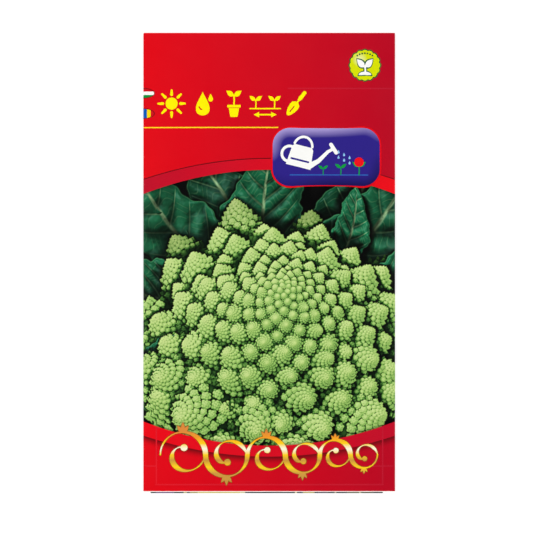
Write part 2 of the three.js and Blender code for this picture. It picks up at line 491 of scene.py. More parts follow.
def film_lifts(layer):
    """The underside and the face of a printed layer, counted up from the paper."""
    look = bpy.context.scene.packet_paper
    bottom = look.film_gap + layer * (look.film_gap + look.film)
    return bottom + look.film, bottom


def print_layout(name, flat, groups, layer, material, paint=None):
    """Prints flat points and faces as one thin layer. paint gives the points their shades, from 0 to 1."""
    top, bottom = film_lifts(layer)
    piece = closed_sheet(name, flat, groups, top, bottom, material)
    if paint is not None:
        shade = piece.data.attributes.new("shade", "FLOAT", "POINT")
        shade.data.foreach_set("value", np.tile(paint(flat), 2).astype(np.float32))
    crease_edges(piece, CREASE_ANGLE)
    return piece


def front_piece(name, shapes, layer, material, spacing=1.2 * MM, paint=None):
    flat, faces = shape_layout(shapes, spacing)
    return print_layout(name, flat, [faces], layer, material, paint)


def back_piece(name, shapes, layer, material):
    flat, faces = shape_layout(shapes, 4 * MM)
    return print_layout(name, flat, [faces], layer, material)


def back_point(x, y):
    """Flat coordinates of a place on the back, x to the right as the back is read."""
    return np.array([x - 2 * LEFT.start - LEFT.arc, y])


# ---------------------------------------------------------------- materials

FLOAT, COLOUR = "NodeSocketFloat", "NodeSocketColor"


def set_inputs(tree, node, inputs):
    """Links each input that is given a socket, and sets each that is given a value."""
    for key, value in inputs.items():
        if isinstance(value, bpy.types.NodeSocket):
            tree.links.new(value, node.inputs[key])
        else:
            node.inputs[key].default_value = value


def add_node(tree, kind, inputs=None, **settings):
    """A node with its settings, and its inputs linked or set."""
    node = tree.nodes.new(kind)
    for key, value in settings.items():
        setattr(node, key, value)
    set_inputs(tree, node, inputs or {})
    return node


def add_group(tree, group, **inputs):
    return add_node(tree, "ShaderNodeGroup", inputs, node_tree=group)


def add_noise(tree, place, scale, detail, **more):
    inputs = {"Vector": place, "Scale": scale, "Detail": detail, **more}
    return add_node(tree, "ShaderNodeTexNoise", inputs).outputs[0]


def add_math(tree, operation, *values):
    return add_node(tree, "ShaderNodeMath", dict(enumerate(values)), operation=operation).outputs[0]


def object_place(tree):
    return add_node(tree, "ShaderNodeTexCoord").outputs["Object"]


def shared_group(name, inputs, outputs):
    """Turns a function that fills a shader group into one that gives the group, filled at its first use.

    That function takes the group and its input sockets, and gives the sockets that go to its outputs.
    """
    def decorate(fill):
        def give():
            if name in bpy.data.node_groups:
                return bpy.data.node_groups[name]
            group = bpy.data.node_groups.new(name, "ShaderNodeTree")
            for label, kind, value in inputs:
                group.interface.new_socket(name=label, in_out="INPUT", socket_type=kind).default_value = value
            for label, kind in outputs:
                group.interface.new_socket(name=label, in_out="OUTPUT", socket_type=kind)
            given, result = group.nodes.new("NodeGroupInput"), group.nodes.new("NodeGroupOutput")
            set_inputs(group, result, fill(group, given.outputs))
            return group
        return give
    return decorate


@shared_group(
    "Paper skin", [("Fibre Scale", FLOAT, 2600.0), ("Roughness", FLOAT, 0.4)],
    [("Height", FLOAT), ("Roughness", FLOAT)],
)
def paper_skin_group(group, given):
    """Fibres and calender marks of coated paper, as a height, and the patches where its varnish is duller."""
    place = object_place(group)
    fibres = add_noise(group, place, given["Fibre Scale"], 5.0, Roughness=0.62)
    stretched = add_node(group, "ShaderNodeMapping", {"Vector": place, "Scale": (1.0, 0.22, 1.0)})
    grain = add_noise(group, stretched.outputs[0], 1900.0, 3.0)
    height = add_math(group, "ADD", fibres, grain)
    spread = add_math(group, "ADD", add_noise(group, place, 85.0, 4.0), -0.5)
    duller = add_math(group, "MULTIPLY_ADD", spread, 0.16, given["Roughness"])
    return {"Height": height, "Roughness": duller}


@shared_group(
    "Ink lay", [("Color", COLOUR, (1, 1, 1, 1)), ("Unevenness", FLOAT, 0.08), ("Strength", FLOAT, 1.0)],
    [("Color", COLOUR)],
)
def ink_group(group, given):
    """A printed colour with the slight unevenness of ink on paper."""
    place = object_place(group)
    speckle = add_noise(group, place, 5200.0, 2.0)
    cloud = add_noise(group, place, 240.0, 3.0)
    spread = add_math(group, "ADD", add_math(group, "ADD", speckle, cloud), -1.0)
    factor = add_math(group, "MULTIPLY_ADD", spread, given["Unevenness"], given["Strength"])
    toned = add_node(group, "ShaderNodeVectorMath", {0: given["Color"], "Scale": factor}, operation="SCALE")
    return {"Color": toned.outputs[0]}


@shared_group(
    "Side to side", [("Left", COLOUR, (1, 0, 0, 1)), ("Right", COLOUR, (0.5, 0, 0, 1))], [("Color", COLOUR)],
)
def sweep_group(group, given):
    """A colour that changes evenly from the packet's left edge to its right edge."""
    x = add_node(group, "ShaderNodeSeparateXYZ", {0: object_place(group)}).outputs["X"]
    share = add_node(group, "ShaderNodeMapRange", {
        "Value": x, "From Min": -LEFT.start, "From Max": RIGHT.start,
    }, interpolation_type="LINEAR")
    mixed = add_node(group, "ShaderNodeMix", {
        0: share.outputs[0], 6: given["Left"], 7: given["Right"],
    }, data_type="RGBA")
    return {"Color": mixed.outputs[2]}


def new_material(name):
    """A fresh material, its node tree and its shader."""
    material = bpy.data.materials.new(name)
    material.use_nodes = True
    return material, material.node_tree, material.node_tree.nodes["Principled BSDF"]


def paper_material(
    name, colour, roughness=0.34, unevenness=0.045, gloss=0.15, fibre_depth=3.5e-3 * MM,
    strength=INK_STRENGTH,
):
    """A printed or bare paper finish. colour is a tuple, or a function that adds nodes and gives a socket."""
    if name in bpy.data.materials:
        return bpy.data.materials[name]
    material, tree, shader = new_material(name)
    source = colour(tree) if callable(colour) else (*colour, 1.0)
    laid = add_group(tree, ink_group(), Color=source, Unevenness=unevenness, Strength=strength)
    skin = add_group(tree, paper_skin_group(), Roughness=roughness)
    bump = add_node(tree, "ShaderNodeBump", {"Height": skin.outputs["Height"], "Distance": fibre_depth})
    set_inputs(tree, shader, {
        "Base Color": laid.outputs["Color"], "Roughness": skin.outputs["Roughness"],
        "Normal": bump.outputs[0], "Specular IOR Level": gloss,
    })
    return material


def add_ramp(tree, factor, *stops):
    """The colour that a factor has on a ramp of (position, colour) stops."""
    ramp = add_node(tree, "ShaderNodeValToRGB", {"Fac": factor})
    for position, _ in stops[1:-1]:
        ramp.color_ramp.elements.new(position)
    for element, (position, colour) in zip(ramp.color_ramp.elements, stops):
        element.position, element.color = position, (*colour, 1.0)
    return ramp.outputs["Color"]


def own_shade(tree):
    return add_node(tree, "ShaderNodeAttribute", attribute_name="shade").outputs["Fac"]


def shade_ramp(*stops):
    """A colour function for paper_material: the piece's own shade, on a ramp of (shade, colour) stops."""
    return lambda tree: add_ramp(tree, own_shade(tree), *stops)


def sweep(left, right):
    """A colour function for paper_material: left at the left edge, right at the right edge."""
    ends = {"Left": (*left, 1.0), "Right": (*right, 1.0)}
    return lambda tree: add_group(tree, sweep_group(), **ends).outputs["Color"]


def shaded_sweep(left, right, dark):
    """A colour function for paper_material: dark where the piece's shade is 0, the sweep where it is 1."""
    def colour(tree):
        mixed = add_node(tree, "ShaderNodeMix", {
            0: own_shade(tree), 6: (*dark, 1.0), 7: sweep(left, right)(tree),
        }, data_type="RGBA")
        return mixed.outputs[2]
    return colour


def painted(tree):
    """A colour function for paper_material: the colours held by the piece's own points."""
    return add_node(tree, "ShaderNodeAttribute", attribute_name="print").outputs["Color"]


def printed_white():
    return paper_material("printed_white", ink("fbfbf7"))


def seed_coat():
    """A small brassica seed: dark brown, finely netted, with a dull sheen."""
    look = bpy.context.scene.packet_paper
    material, tree, shader = new_material("seed_coat")
    place = object_place(tree)
    tone = add_noise(tree, place, 700.0, 3.0)
    brown = add_ramp(tree, tone, (0.32, look.seed_dark), (0.72, look.seed_light))
    net = add_node(tree, "ShaderNodeTexVoronoi", {
        "Vector": place, "Scale": 5200.0,
    }, feature="DISTANCE_TO_EDGE")
    bump = add_node(tree, "ShaderNodeBump", {"Height": net.outputs[0], "Distance": 0.015 * MM})
    rough = add_math(tree, "MULTIPLY_ADD", tone, 0.3, 0.35)
    set_inputs(tree, shader, {"Base Color": brown, "Roughness": rough, "Normal": bump.outputs[0]})
    return material


def pale_floor(look):
    """A dull white table that gives off some light of its own, so that it stays white under the camera."""
    material, tree, shader = new_material("pale_floor")
    cloud = add_noise(tree, object_place(tree), 9.0, 2.0)
    shaded = [0.985 * channel for channel in look.floor_colour]
    set_inputs(tree, shader, {
        "Base Color": add_ramp(tree, cloud, (0, shaded), (1, look.floor_colour)), "Roughness": 0.9,
        "Specular IOR Level": 0.1, "Emission Color": (1, 1, 1, 1), "Emission Strength": look.floor_glow,
    })
    return material


def studio_world(look):
    """White walls all round under a dark ceiling, so that flat print seen from above keeps its colour."""
    world = bpy.data.worlds.new("studio")
    world.use_nodes = True
    tree = world.node_tree
    direction = add_node(tree, "ShaderNodeTexCoord").outputs["Generated"]
    height = add_node(tree, "ShaderNodeSeparateXYZ", {0: direction}).outputs["Z"]
    grey = add_ramp(tree, height, (0.3, (1,) * 3), (0.75, (0.03,) * 3))
    set_inputs(tree, tree.nodes["Background"], {"Color": grey, "Strength": look.walls})
    return world


# ---------------------------------------------------------------- the printed picture

PICTURE_SIZE = (84.0, 92.0)  # the scenery's width and height, in its own millimetres
FINENESS = 10  # samples a millimetre
PICTURE_STRIPS = 4
SUN = np.array([-0.39, 0.50, 0.77])
FLORET_STEEPNESS = 1.22
FLORET_TONES = (  # how lit a sample is, and its colour there
    (0.0, (0.001, 0.002, 0.001)), (0.10, (0.007, 0.026, 0.006)), (0.26, (0.055, 0.165, 0.028)),
    (0.42, (0.150, 0.335, 0.064)), (0.60, (0.270, 0.475, 0.112)), (0.80, (0.385, 0.585, 0.168)),
    (1.0, (0.510, 0.685, 0.250)),
)
LEAF_GREEN = np.array([0.008, 0.098, 0.040])
VEIN_GREEN = np.array([0.20, 0.44, 0.20])
RIB_GREEN = np.array([0.36, 0.58, 0.28])
LEAF_EDGE_GREEN = np.array([0.09, 0.28, 0.12])
WAX_SHEEN = np.array([0.045, 0.095, 0.080])
LEAF_EXPOSURE = 1.05
SHARPENING = 0.9
CORE = -0.3  # the tipward value of a ball inside a floret; a bud's runs from 0 at the foot to 1 at the tip


def unit(vectors):
    return vectors / np.maximum(np.linalg.norm(vectors, axis=-1, keepdims=True), 1e-9)


def axes_about(axis):
    """Matrices that turn +Z onto each axis."""
    reference = np.where(np.abs(axis[..., 2:]) < 0.9, [0.0, 0.0, 1.0], [1.0, 0.0, 0.0])
    first = unit(np.cross(reference, axis))
    return np.stack([first, np.cross(axis, first), axis], -1)


def spins(turns):
    """Matrices that turn about +Z by these turns, in radians."""
    found = np.zeros((len(turns), 3, 3))
    found[:, 0, 0] = found[:, 1, 1] = np.cos(turns)
    found[:, 1, 0] = np.sin(turns)
    found[:, 0, 1] = -np.sin(turns)
    found[:, 2, 2] = 1
    return found


def spiral(start, end, smallest, growth, packing, slant=lambda r: 1.0):
    """Radius, turn and size of the buds of a spiral: each next one turns by the golden angle, further out."""
    r, found = start, []
    while r < end:
        size = smallest + growth * r
        found.append((r, size))
        r += packing * size ** 2 / (2 * math.pi * r * slant(r))
    radius, size = np.array(found).T
    return radius, GOLDEN_ANGLE * np.arange(len(radius)), size


def cone_of_buds(start, smallest, growth, packing, height, power, end=1.0):
    """Place, axis and size of the buds that cover a unit cone."""
    radius, turn, size = (np.append(first, rest) for first, rest in zip((0, 0, smallest), spiral(
        start, end, smallest, growth, packing,
    )))
    slope = height * power * radius ** (power - 1)
    steep = np.hypot(slope, 1)
    outward = around(turn)
    place = np.column_stack([radius[:, None] * outward, height * (1 - radius ** power)])
    axis = unit(np.column_stack([(slope / steep)[:, None] * outward, 1 / steep + 0.35]))
    return place, axis, size


class Scenery:
    """A height map of vegetables seen from above, in millimetres, with a colour for each sample."""

    def __init__(self, random):
        self.random = random
        columns, rows = (int(size * FINENESS) for size in PICTURE_SIZE)
        self.shape = rows, columns
        x = (np.arange(columns) + 0.5) / FINENESS - PICTURE_SIZE[0] / 2
        y = (np.arange(rows) + 0.5) / FINENESS - PICTURE_SIZE[1] / 2
        self.x, self.y = np.meshgrid(x, y)
        self.height = np.full(self.shape, -34.0)
        self.colour = np.full((*self.shape, 3), 0.011)
        self.leafy = np.zeros(self.shape, bool)
        self.bud = np.full(self.shape, -1)
        self.fine_noise = self.noise(0.35)
        self.broad_noise = self.noise(1.6)
        self.slow_noise = self.noise(4.5)

    def blurred(self, values, size):
        margin = 32
        padded = np.pad(values, margin, mode="edge")
        across = np.fft.rfftfreq(padded.shape[1])[None]
        along = np.fft.fftfreq(padded.shape[0])[:, None]
        kept = np.exp(-2 * (math.pi * size * FINENESS) ** 2 * (across ** 2 + along ** 2))
        smooth = np.fft.irfft2(np.fft.rfft2(padded) * kept, padded.shape)
        return smooth[margin:-margin, margin:-margin]

    def noise(self, size):
        values = self.blurred(self.random.normal(size=self.shape), size)
        return values / values.std()

    def leaf(self, base, direction, length, half_width, level, bend=0.0, cup=2.0, tone=0.0, fullness=0.62):
        """Lays a leaf from its base, pointing this many degrees from the x axis, at this level."""
        phase = self.random.uniform(0, 2 * math.pi, 7)
        c, s = heading(direction)
        x, y = self.x - base[0], self.y - base[1]
        along = (x * c + y * s) / length
        side = y * c - x * s - bend * length * along * np.abs(along)
        hand = np.sign(side)
        body = np.clip(along, 0, 1)
        half = half_width * np.sin(math.pi * body ** fullness) ** 0.75
        for count, size, turn, start in ((1.9, 0.09, 1.3, 0), (4.7, 0.05, 2.1, 1), (11, 0.022, 1.0, 2)):
            half = half * (1 + size * np.sin(2 * math.pi * count * along + phase[start] + turn * hand))
        share = np.abs(side) / np.maximum(half, 1e-6)
        rib_half = 0.018 * length * (1 - 0.75 * body)
        blade = (along > 0) & (along < 1) & (share < 1)
        stalk = (along > -0.35) & (along < 0.9) & (np.abs(side) < 1.5 * rib_half)
        veins = 6
        reach = np.abs(side) / length
        turns = (along - 0.75 * reach - 1.2 * reach ** 2) * veins + 0.35 * (hand > 0) + 0.10 * self.slow_noise
        to_vein = np.abs(turns - np.rint(turns)) / veins * length * 0.8
        vein_half = 0.36 * (1 - 0.75 * share) * half_width / 20 + 0.07
        vein = np.exp(-(to_vein / vein_half) ** 2) * soft_step(1 - share, 0, 0.25)
        rib = np.exp(-(side / np.maximum(rib_half, 0.1)) ** 2) * soft_step(0.98 - along, 0, 0.3)
        branches = (along + 0.9 * reach) * veins * 2.6 + 0.5 * np.sin(40 * reach + phase[3])
        branches = branches + 0.15 * self.broad_noise
        to_branch = np.abs(branches - np.rint(branches)) / (veins * 2.6) * length
        branch = np.exp(-(to_branch / 0.2) ** 2) * soft_step(to_vein, 0.3, 1.2) * soft_step(1 - share, 0, 0.3)
        puffed = soft_step(to_vein, 0, length / veins * 0.35) * (1 - rib)
        ruffle = np.sin(2 * math.pi * 4.3 * along + phase[4] + 2 * hand)
        ruffle = ruffle + 0.5 * np.sin(2 * math.pi * 9.1 * along + phase[5] - hand)
        height = level + 4 * along + cup * share ** 2 + np.clip(share, 0, 1) ** 3 * ruffle
        height = height + 0.95 * puffed + 0.3 * rib * half_width / 15 - 0.16 * vein - 0.05 * branch
        height = height + 0.05 * self.fine_noise + 0.5 * self.broad_noise + 1.3 * self.slow_noise
        round_stalk = level + 4 * along + 0.5 * np.sqrt(np.clip(rib_half ** 2 - (side / 1.5) ** 2, 0, None))
        height = np.where(stalk & ~blade, round_stalk, height)
        seen = (blade | stalk) & (height > self.height)
        green = LEAF_GREEN * (1 + tone) * (1 + 0.20 * self.broad_noise + 0.06 * self.fine_noise)[..., None]
        for share_of, pale in (
            (np.clip(0.16 * branch + 0.8 * vein, 0, 1), VEIN_GREEN),
            (rib, RIB_GREEN),
            (0.35 * soft_step(share, 0.955, 0.99), LEAF_EDGE_GREEN),
        ):
            green = green + share_of[..., None] * (pale - green)
        self.height[seen] = height[seen]
        self.colour[seen] = np.clip(green, 0, 1)[seen]
        self.leafy[seen] = True
        self.bud[seen] = -1

    def florets(self, radius, height, turn):
        """Place, axis and size of the florets of an upright head, no two quite alike."""
        def slant(r):
            return math.hypot(1, height * FLORET_STEEPNESS * (r / radius) ** (FLORET_STEEPNESS - 1) / radius)

        r, angle, size = spiral(0.8, radius, 0.90, 0.180, 2.1, slant)
        share = r / radius
        slope = height * FLORET_STEEPNESS * share ** (FLORET_STEEPNESS - 1) / radius
        outward = around(angle + turn)
        place = np.column_stack([r[:, None] * outward, height * (1 - share ** FLORET_STEEPNESS)])
        axis = unit(np.column_stack([slope[:, None] * outward, np.ones(len(r))]))
        axis = unit(axis + [0, 0, 0.25] + 0.13 * self.random.normal(size=axis.shape))
        size = 1.04 * size * (1 + 0.10 * self.random.normal(size=len(r)))
        place = place + 0.30 * (size * share)[:, None] * self.random.normal(size=place.shape)
        return place - 0.45 * size[:, None] * axis, axis, size

    def romanesco(self, centre, radius, height, tilt, turn, lean):
        """Grows a head of florets, each a cone of smaller cones, each a cone of buds, drawn as balls."""
        place, axis, size = self.florets(radius, height, turn)
        numbers = np.arange(len(size))
        ct, st, cl, sl = math.cos(tilt), math.sin(tilt), math.cos(lean), math.sin(lean)
        posed = np.array([[cl, -sl, 0], [sl, cl, 0], [0, 0, 1]]) @ [[1, 0, 0], [0, ct, st], [0, -st, ct]]
        place, axis = place @ posed.T + centre, axis @ posed.T

        turned = axes_about(axis) @ spins(self.random.uniform(0, 2 * math.pi, len(size)))
        cone_place, cone_axis, cone_size = cone_of_buds(0.06, 0.030, 0.18, 2.3, 1.60, 1.22, end=1.14)
        bud_place, _, bud_size = cone_of_buds(0.24, 0.13, 0.26, 2.2, 1.60, 1.15)
        cones = place[:, None] + size[:, None, None] * np.einsum("nij,mj->nmi", turned, cone_place)
        cone_axes = np.einsum("nij,mj->nmi", turned, cone_axis)
        cone_sizes = size[:, None] * cone_size * (1 + 0.07 * self.random.normal(size=cones.shape[:2]))
        seen = cone_axes[..., 2] > -0.35
        owner = np.broadcast_to(numbers[:, None], seen.shape)[seen]
        tipward = np.broadcast_to(1 - np.linalg.norm(cone_place[:, :2], axis=1), seen.shape)[seen]
        cones, cone_axes, cone_sizes = cones[seen], cone_axes[seen], cone_sizes[seen]
        buds = np.einsum("nij,mj->nmi", axes_about(cone_axes), bud_place)
        buds = cones[:, None] + cone_sizes[:, None, None] * (buds - 0.42 * cone_axes[:, None])

        each_bud = len(bud_place)
        balls = [
            (buds.reshape(-1, 3), np.ravel(cone_sizes[:, None] * bud_size * 1.15),
             np.repeat(owner, each_bud), np.repeat(tipward, each_bud)),
            (cones - 0.36 * cone_sizes[:, None] * cone_axes, cone_sizes, owner, 0.7 * tipward),
        ]
        for up in (-0.5, 0.05, 0.3, 0.55, 0.8, 1.0):
            core = place + up * size[:, None] * axis
            balls.append((core, (0.86 - 0.62 * up) * size, numbers, np.full(len(size), CORE)))
        climb = np.linspace(0, 1, 14)
        trunk = climb[:, None] * [0, 0, 0.93 * height] @ posed.T + centre - [0, 0, 2]
        balls.append((trunk, 0.66 * radius * (1 - climb) ** 0.9, np.zeros(14, int), np.full(14, CORE)))
        points, radii, self.owner, self.tipward = (np.concatenate(parts) for parts in zip(*balls))
        self.splat(points, radii)

    def splat(self, points, radii):
        """Draws balls into the height map, the highest at each sample winning."""
        rows, columns = self.shape
        column = (points[:, 0] + PICTURE_SIZE[0] / 2) * FINENESS - 0.5
        row = (points[:, 1] + PICTURE_SIZE[1] / 2) * FINENESS - 0.5
        reach = np.maximum(radii * FINENESS, 0.8)
        found = []
        for steps in np.unique(np.ceil(reach).astype(int)):
            near = (column > -steps) & (column < columns + steps) & (row > -steps) & (row < rows + steps)
            chosen = np.nonzero((np.ceil(reach) == steps) & near)[0]
            across, up = np.meshgrid(*[np.arange(-steps, steps + 1)] * 2)
            disc = across ** 2 + up ** 2 <= (steps + 0.7) ** 2
            at_column = np.rint(column[chosen]).astype(int)[:, None] + across[disc]
            at_row = np.rint(row[chosen]).astype(int)[:, None] + up[disc]
            rest = reach[chosen][:, None] ** 2
            rest = rest - (at_column - column[chosen][:, None]) ** 2 - (at_row - row[chosen][:, None]) ** 2
            hit = (rest > 0) & (at_column >= 0) & (at_column < columns) & (at_row >= 0) & (at_row < rows)
            top = points[chosen, 2][:, None] + np.sqrt(np.maximum(rest, 0)) / FINENESS
            owner = np.broadcast_to(chosen[:, None], hit.shape)
            found.append(((at_row * columns + at_column)[hit], top[hit], owner[hit]))
        sample, top, ball = (np.concatenate(parts) for parts in zip(*found))
        order = np.argsort(top, kind="stable")
        highest = np.full(rows * columns, -1)
        highest[sample[order]] = order
        seen = highest >= 0
        seen[seen] = top[highest[seen]] > self.height.ravel()[seen]
        self.height.ravel()[seen] = top[highest[seen]]
        self.bud.ravel()[seen] = ball[highest[seen]]
        self.leafy.ravel()[seen] = False

    def slopes(self):
        """How fast the height rises along x and y, taken over three scales."""
        slope_x, slope_y = np.zeros(self.shape), np.zeros(self.shape)
        for size, weight in ((0.10, 0.30), (0.35, 0.42), (1.2, 0.28)):
            along, across = np.gradient(self.blurred(self.height, size), 1 / FINENESS)
            slope_x += weight * np.clip(across, -2.2, 2.2)
            slope_y += weight * np.clip(along, -2.2, 2.2)
        return slope_x, slope_y

    def openness(self):
        """How much of the sky each sample sees: 1 on the heights, and less in hollows of three sizes."""
        hollow = 0
        for size, depth, weight in ((0.25, 0.5, 0.20), (0.9, 1.3, 0.55), (2.4, 3.2, 1.45)):
            hollow = hollow + weight * np.clip((self.blurred(self.height, size) - self.height) / depth, 0, 1)
        return np.exp(-1.7 * hollow)

    def shade(self):
        """How deep each sample lies in the shadows that the sun casts, from 0 to 1."""
        level = math.hypot(SUN[0], SUN[1])
        shadow, edge = np.zeros(self.shape), 220
        wide = np.pad(self.blurred(self.height, 0.3), edge, mode="edge")
        for step in range(1, 26):
            distance = 0.35 * step ** 1.25
            right = edge + round(SUN[0] / level * distance * FINENESS)
            up = edge + round(SUN[1] / level * distance * FINENESS)
            towards = wide[up:up + self.shape[0], right:right + self.shape[1]]
            above = towards - self.height - distance * SUN[2] / level
            shadow = np.maximum(shadow, soft_step(above, 0, 0.8 + 0.12 * distance))
        return self.blurred(shadow, 0.15)

    def floret_colours(self, light):
        """Colours of the head: paler at tips and ridges, dark inside, and each floret a little different."""
        tipward = np.where(self.bud >= 0, self.tipward[self.bud], 0)
        tint = self.random.normal(size=self.owner.max() + 1)[self.owner[self.bud]]
        ridge = np.clip((self.height - self.blurred(self.height, 0.45)) / 0.3, -1, 1)
        tone = 0.56 + 0.20 * np.clip(tipward, 0, 1) ** 1.3 + 0.11 * ridge + 0.035 * tint
        tone = np.clip(light * tone, 0, 1.1) * (0.55 + 0.45 * soft_step(self.height, -30, -10))
        tone = np.where(tipward < 0, 0.3, 1) * tone
        marks, tones = zip(*FLORET_TONES)
        colours = np.stack([np.interp(tone, marks, channel) for channel in zip(*tones)], -1)
        return colours * (1 + np.clip(tipward, 0, 1)[..., None] ** 2 * [0.10, 0.02, 0.02])

    def lit(self):
        """The colours of the scenery under the sun, with its hollows darkened and shadows cast."""
        slope_x, slope_y = self.slopes()
        open_sky, shadow = self.openness(), self.shade()

        def facing(direction):
            steep = np.sqrt(1 + slope_x ** 2 + slope_y ** 2)
            return np.clip((direction[2] - slope_x * direction[0] - slope_y * direction[1]) / steep, 0, 1)

        light = 0.73 * open_sky + 0.58 * facing(SUN) * (1 - 0.7 * shadow) * (0.35 + 0.65 * open_sky)
        shine = facing(unit(SUN + [0, 0, 1])) ** 18
        shine = np.where(self.leafy, shine * (1 - shadow) * open_sky, 0)
        leaves = self.colour * light[..., None] ** 1.8 * LEAF_EXPOSURE + shine[..., None] * WAX_SHEEN
        deep = 0.45 + 0.55 * soft_step(self.height, -30, -6)
        colours = np.where((self.bud >= 0)[..., None], self.floret_colours(light), leaves) * deep[..., None]
        blurred = np.stack([self.blurred(channel, 0.24) for channel in np.moveaxis(colours, 2, 0)], -1)
        return np.clip(colours + SHARPENING * (colours - blurred), 0, 1)


def picture_colours(seed):
    """The whole scene: a head with leaves behind it and two before it, as colours on a grid of samples."""
    scenery = Scenery(np.random.default_rng(seed))
    scenery.leaf((-2, 12), 112, 46, 12, level=-27, bend=0.16, cup=1.0, tone=-0.3)
    scenery.leaf((20, 10), 78, 46, 12, level=-28, bend=-0.2, cup=1.0, tone=-0.35)
    scenery.leaf((-26, 4), 118, 46, 11, level=-28, bend=0.22, tone=-0.1)
    scenery.leaf((-14, 6), 136, 50, 13, level=-25, bend=-0.16, tone=0.25)
    scenery.leaf((16, 4), 46, 52, 13, level=-25, bend=0.14, cup=2.5, tone=0.1)
    scenery.leaf((-2, 16), 93, 36, 13, level=-22, bend=-0.14, cup=-1.5, tone=0.2)
    scenery.leaf((22, 14), 60, 24, 6, level=-21, bend=0.3, cup=2.5, tone=0.35, fullness=0.8)
    scenery.leaf((30, -2), 22, 34, 12, level=-20, bend=0.25, tone=0.2)
    scenery.leaf((-30, 2), 172, 30, 12, level=-19, bend=-0.2, tone=0.1)
    scenery.leaf((-16, -36), 222, 38, 14, level=-20, bend=0.2, tone=0.1)
    scenery.leaf((18, -36), 318, 38, 14, level=-20, bend=-0.2, tone=0.2)
    scenery.romanesco((2, -17, -6), 46, 44, tilt=math.radians(33), turn=0.4, lean=math.radians(-8))
    scenery.leaf((-46, -30), 38, 26, 8, level=6, bend=0.25, cup=2.5, tone=0.3, fullness=0.8)
    scenery.leaf((45, -44), 130, 24, 7, level=2, bend=-0.3, cup=2.5, tone=0.3, fullness=0.8)
    return scenery.lit()


# ---------------------------------------------------------------- motifs, drawn about their own middle

def placed(shapes, centre, size, turn=0.0):
    """Shapes scaled, turned by degrees and carried from their own middle to their place on the sheet."""
    c, s = heading(turn)
    rotation = np.array([[c, s], [-s, c]])
    return [[loop @ rotation * size + centre for loop in loops] for loops in shapes]


def drop_outline(centre, size, count=40):
    t = np.linspace(0, 2 * math.pi, count, endpoint=False)
    across = 0.42 * np.sin(t) * np.sin(t / 2) ** 1.6
    return np.stack([across, 0.5 * np.cos(t)], -1) * size + centre


def sun_motif():
    shapes = [[circle((0, 0), 0.21, 36)]]
    for turn in range(0, 360, 45):
        ray = np.linspace(0.31, 0.46, 5)[:, None] * heading(turn)
        shapes.append([stroke(ray, np.linspace(0.052, 0.034, 5))])
    return shapes


def drop_motif():
    gleam = 0.155 * arc(195, 255, 9) - [0, 0.1]
    return [
        [drop_outline((0, 0), 1.0), stroke(gleam, 0.028)],
        [drop_outline((0.33, 0.25), 0.34, 24)],
    ]


def seedling_motif(stem=0.3, leaf=0.34):
    top = stem - 0.02
    return [
        [stroke([(0, -0.02), (0.012, stem / 2), (0, stem)], 0.03)],
        [leaf_outline((0, top), leaf, 0.19, 28, curve=0.12)],
        [leaf_outline((0, top), leaf, 0.19, 152, curve=-0.12)],
    ]


def sprout_motif(wider=0.0):
    """A broad-leaved sprout on a mound of soil, drawn wider by this much for its outline."""
    mound = arc(0, 180, 15) * [0.31 + wider, 0.17 + 2 * wider] - [0, 0.44 + wider]
    shapes = [[mound], [stroke([(0.01, -0.36), (0.02, -0.2), (0, 0.0)], 0.042 + wider)]]
    for turn, side in ((33, 1), (147, -1)):
        base = [0, -0.04] - 1.4 * wider * heading(turn)
        shapes.append([leaf_outline(base, 0.52 + 2.6 * wider, 0.3 + 2.2 * wider, turn, 0.2 * side)])
    return shapes


def pot_motif():
    pot = polygon((-0.19, -0.17), (-0.14, -0.47), (-0.11, -0.5), (0.11, -0.5), (0.14, -0.47), (0.19, -0.17))
    return [[pot], [rounded_box((0, -0.1), 0.5, 0.1, 0.03)], *seedling_motif()]


def spacing_motif():
    shapes = [*placed(seedling_motif(0.34, 0.36), (-0.31, -0.12), 0.7)]
    shapes += placed(seedling_motif(0.34, 0.36), (0.31, -0.12), 0.7)
    shapes += [[line((-0.5, -0.17), (0.5, -0.17), 0.022)], [line((-0.24, -0.37), (0.24, -0.37), 0.026)]]
    for side in (-1, 1):
        shapes.append([polygon((side * 0.38, -0.37), (side * 0.2, -0.28), (side * 0.2, -0.46))])
    return shapes


def trowel_motif():
    t = np.linspace(0, math.pi, 17)
    blade = np.stack([0.17 * np.cos(t) * (1 - 0.25 * np.sin(t)), -0.12 - 0.4 * np.sin(t) ** 0.8], -1)
    shoulders = np.array([(-0.15, -0.02), (-0.06, 0.05), (0.06, 0.05), (0.15, -0.02)])
    crease = line((0, -0.13), (0, -0.36), 0.018)
    handle = stroke([(0, 0.17), (0, 0.25), (0, 0.36), (0, 0.47)], [0.055, 0.075, 0.062, 0.07])
    return [[np.concatenate([blade, shoulders]), crease], [line((0, 0.02), (0, 0.17), 0.03)], [handle]]


def watering_can_motif():
    """The can, its rose and its two handles, 1.6 wide."""
    body = polygon((-0.36, -0.4), (0.3, -0.4), (0.25, 0.1), (0.2, 0.16), (-0.26, 0.16), (-0.31, 0.1))
    band = rounded_box((-0.03, -0.22), 0.5, 0.05, 0.024)
    bail = arc(12, 168, 15) * [0.24, 0.27] + [-0.03, 0.13]
    grip = 0.2 * arc(78, 262, 17) - [0.33, 0.12]
    spout = np.array([(0.26, -0.3), (0.45, -0.12), (0.62, 0.16), (0.74, 0.28)])
    return [
        [body, band], [stroke(bail, 0.032)], [stroke(grip, 0.036)],
        [stroke(spout, [0.075, 0.055, 0.042, 0.036])], [line((0.66, 0.37), (0.84, 0.2), 0.05)],
    ]


SCROLL_STEPS = 18  # points in each half circle of the scroll's stem


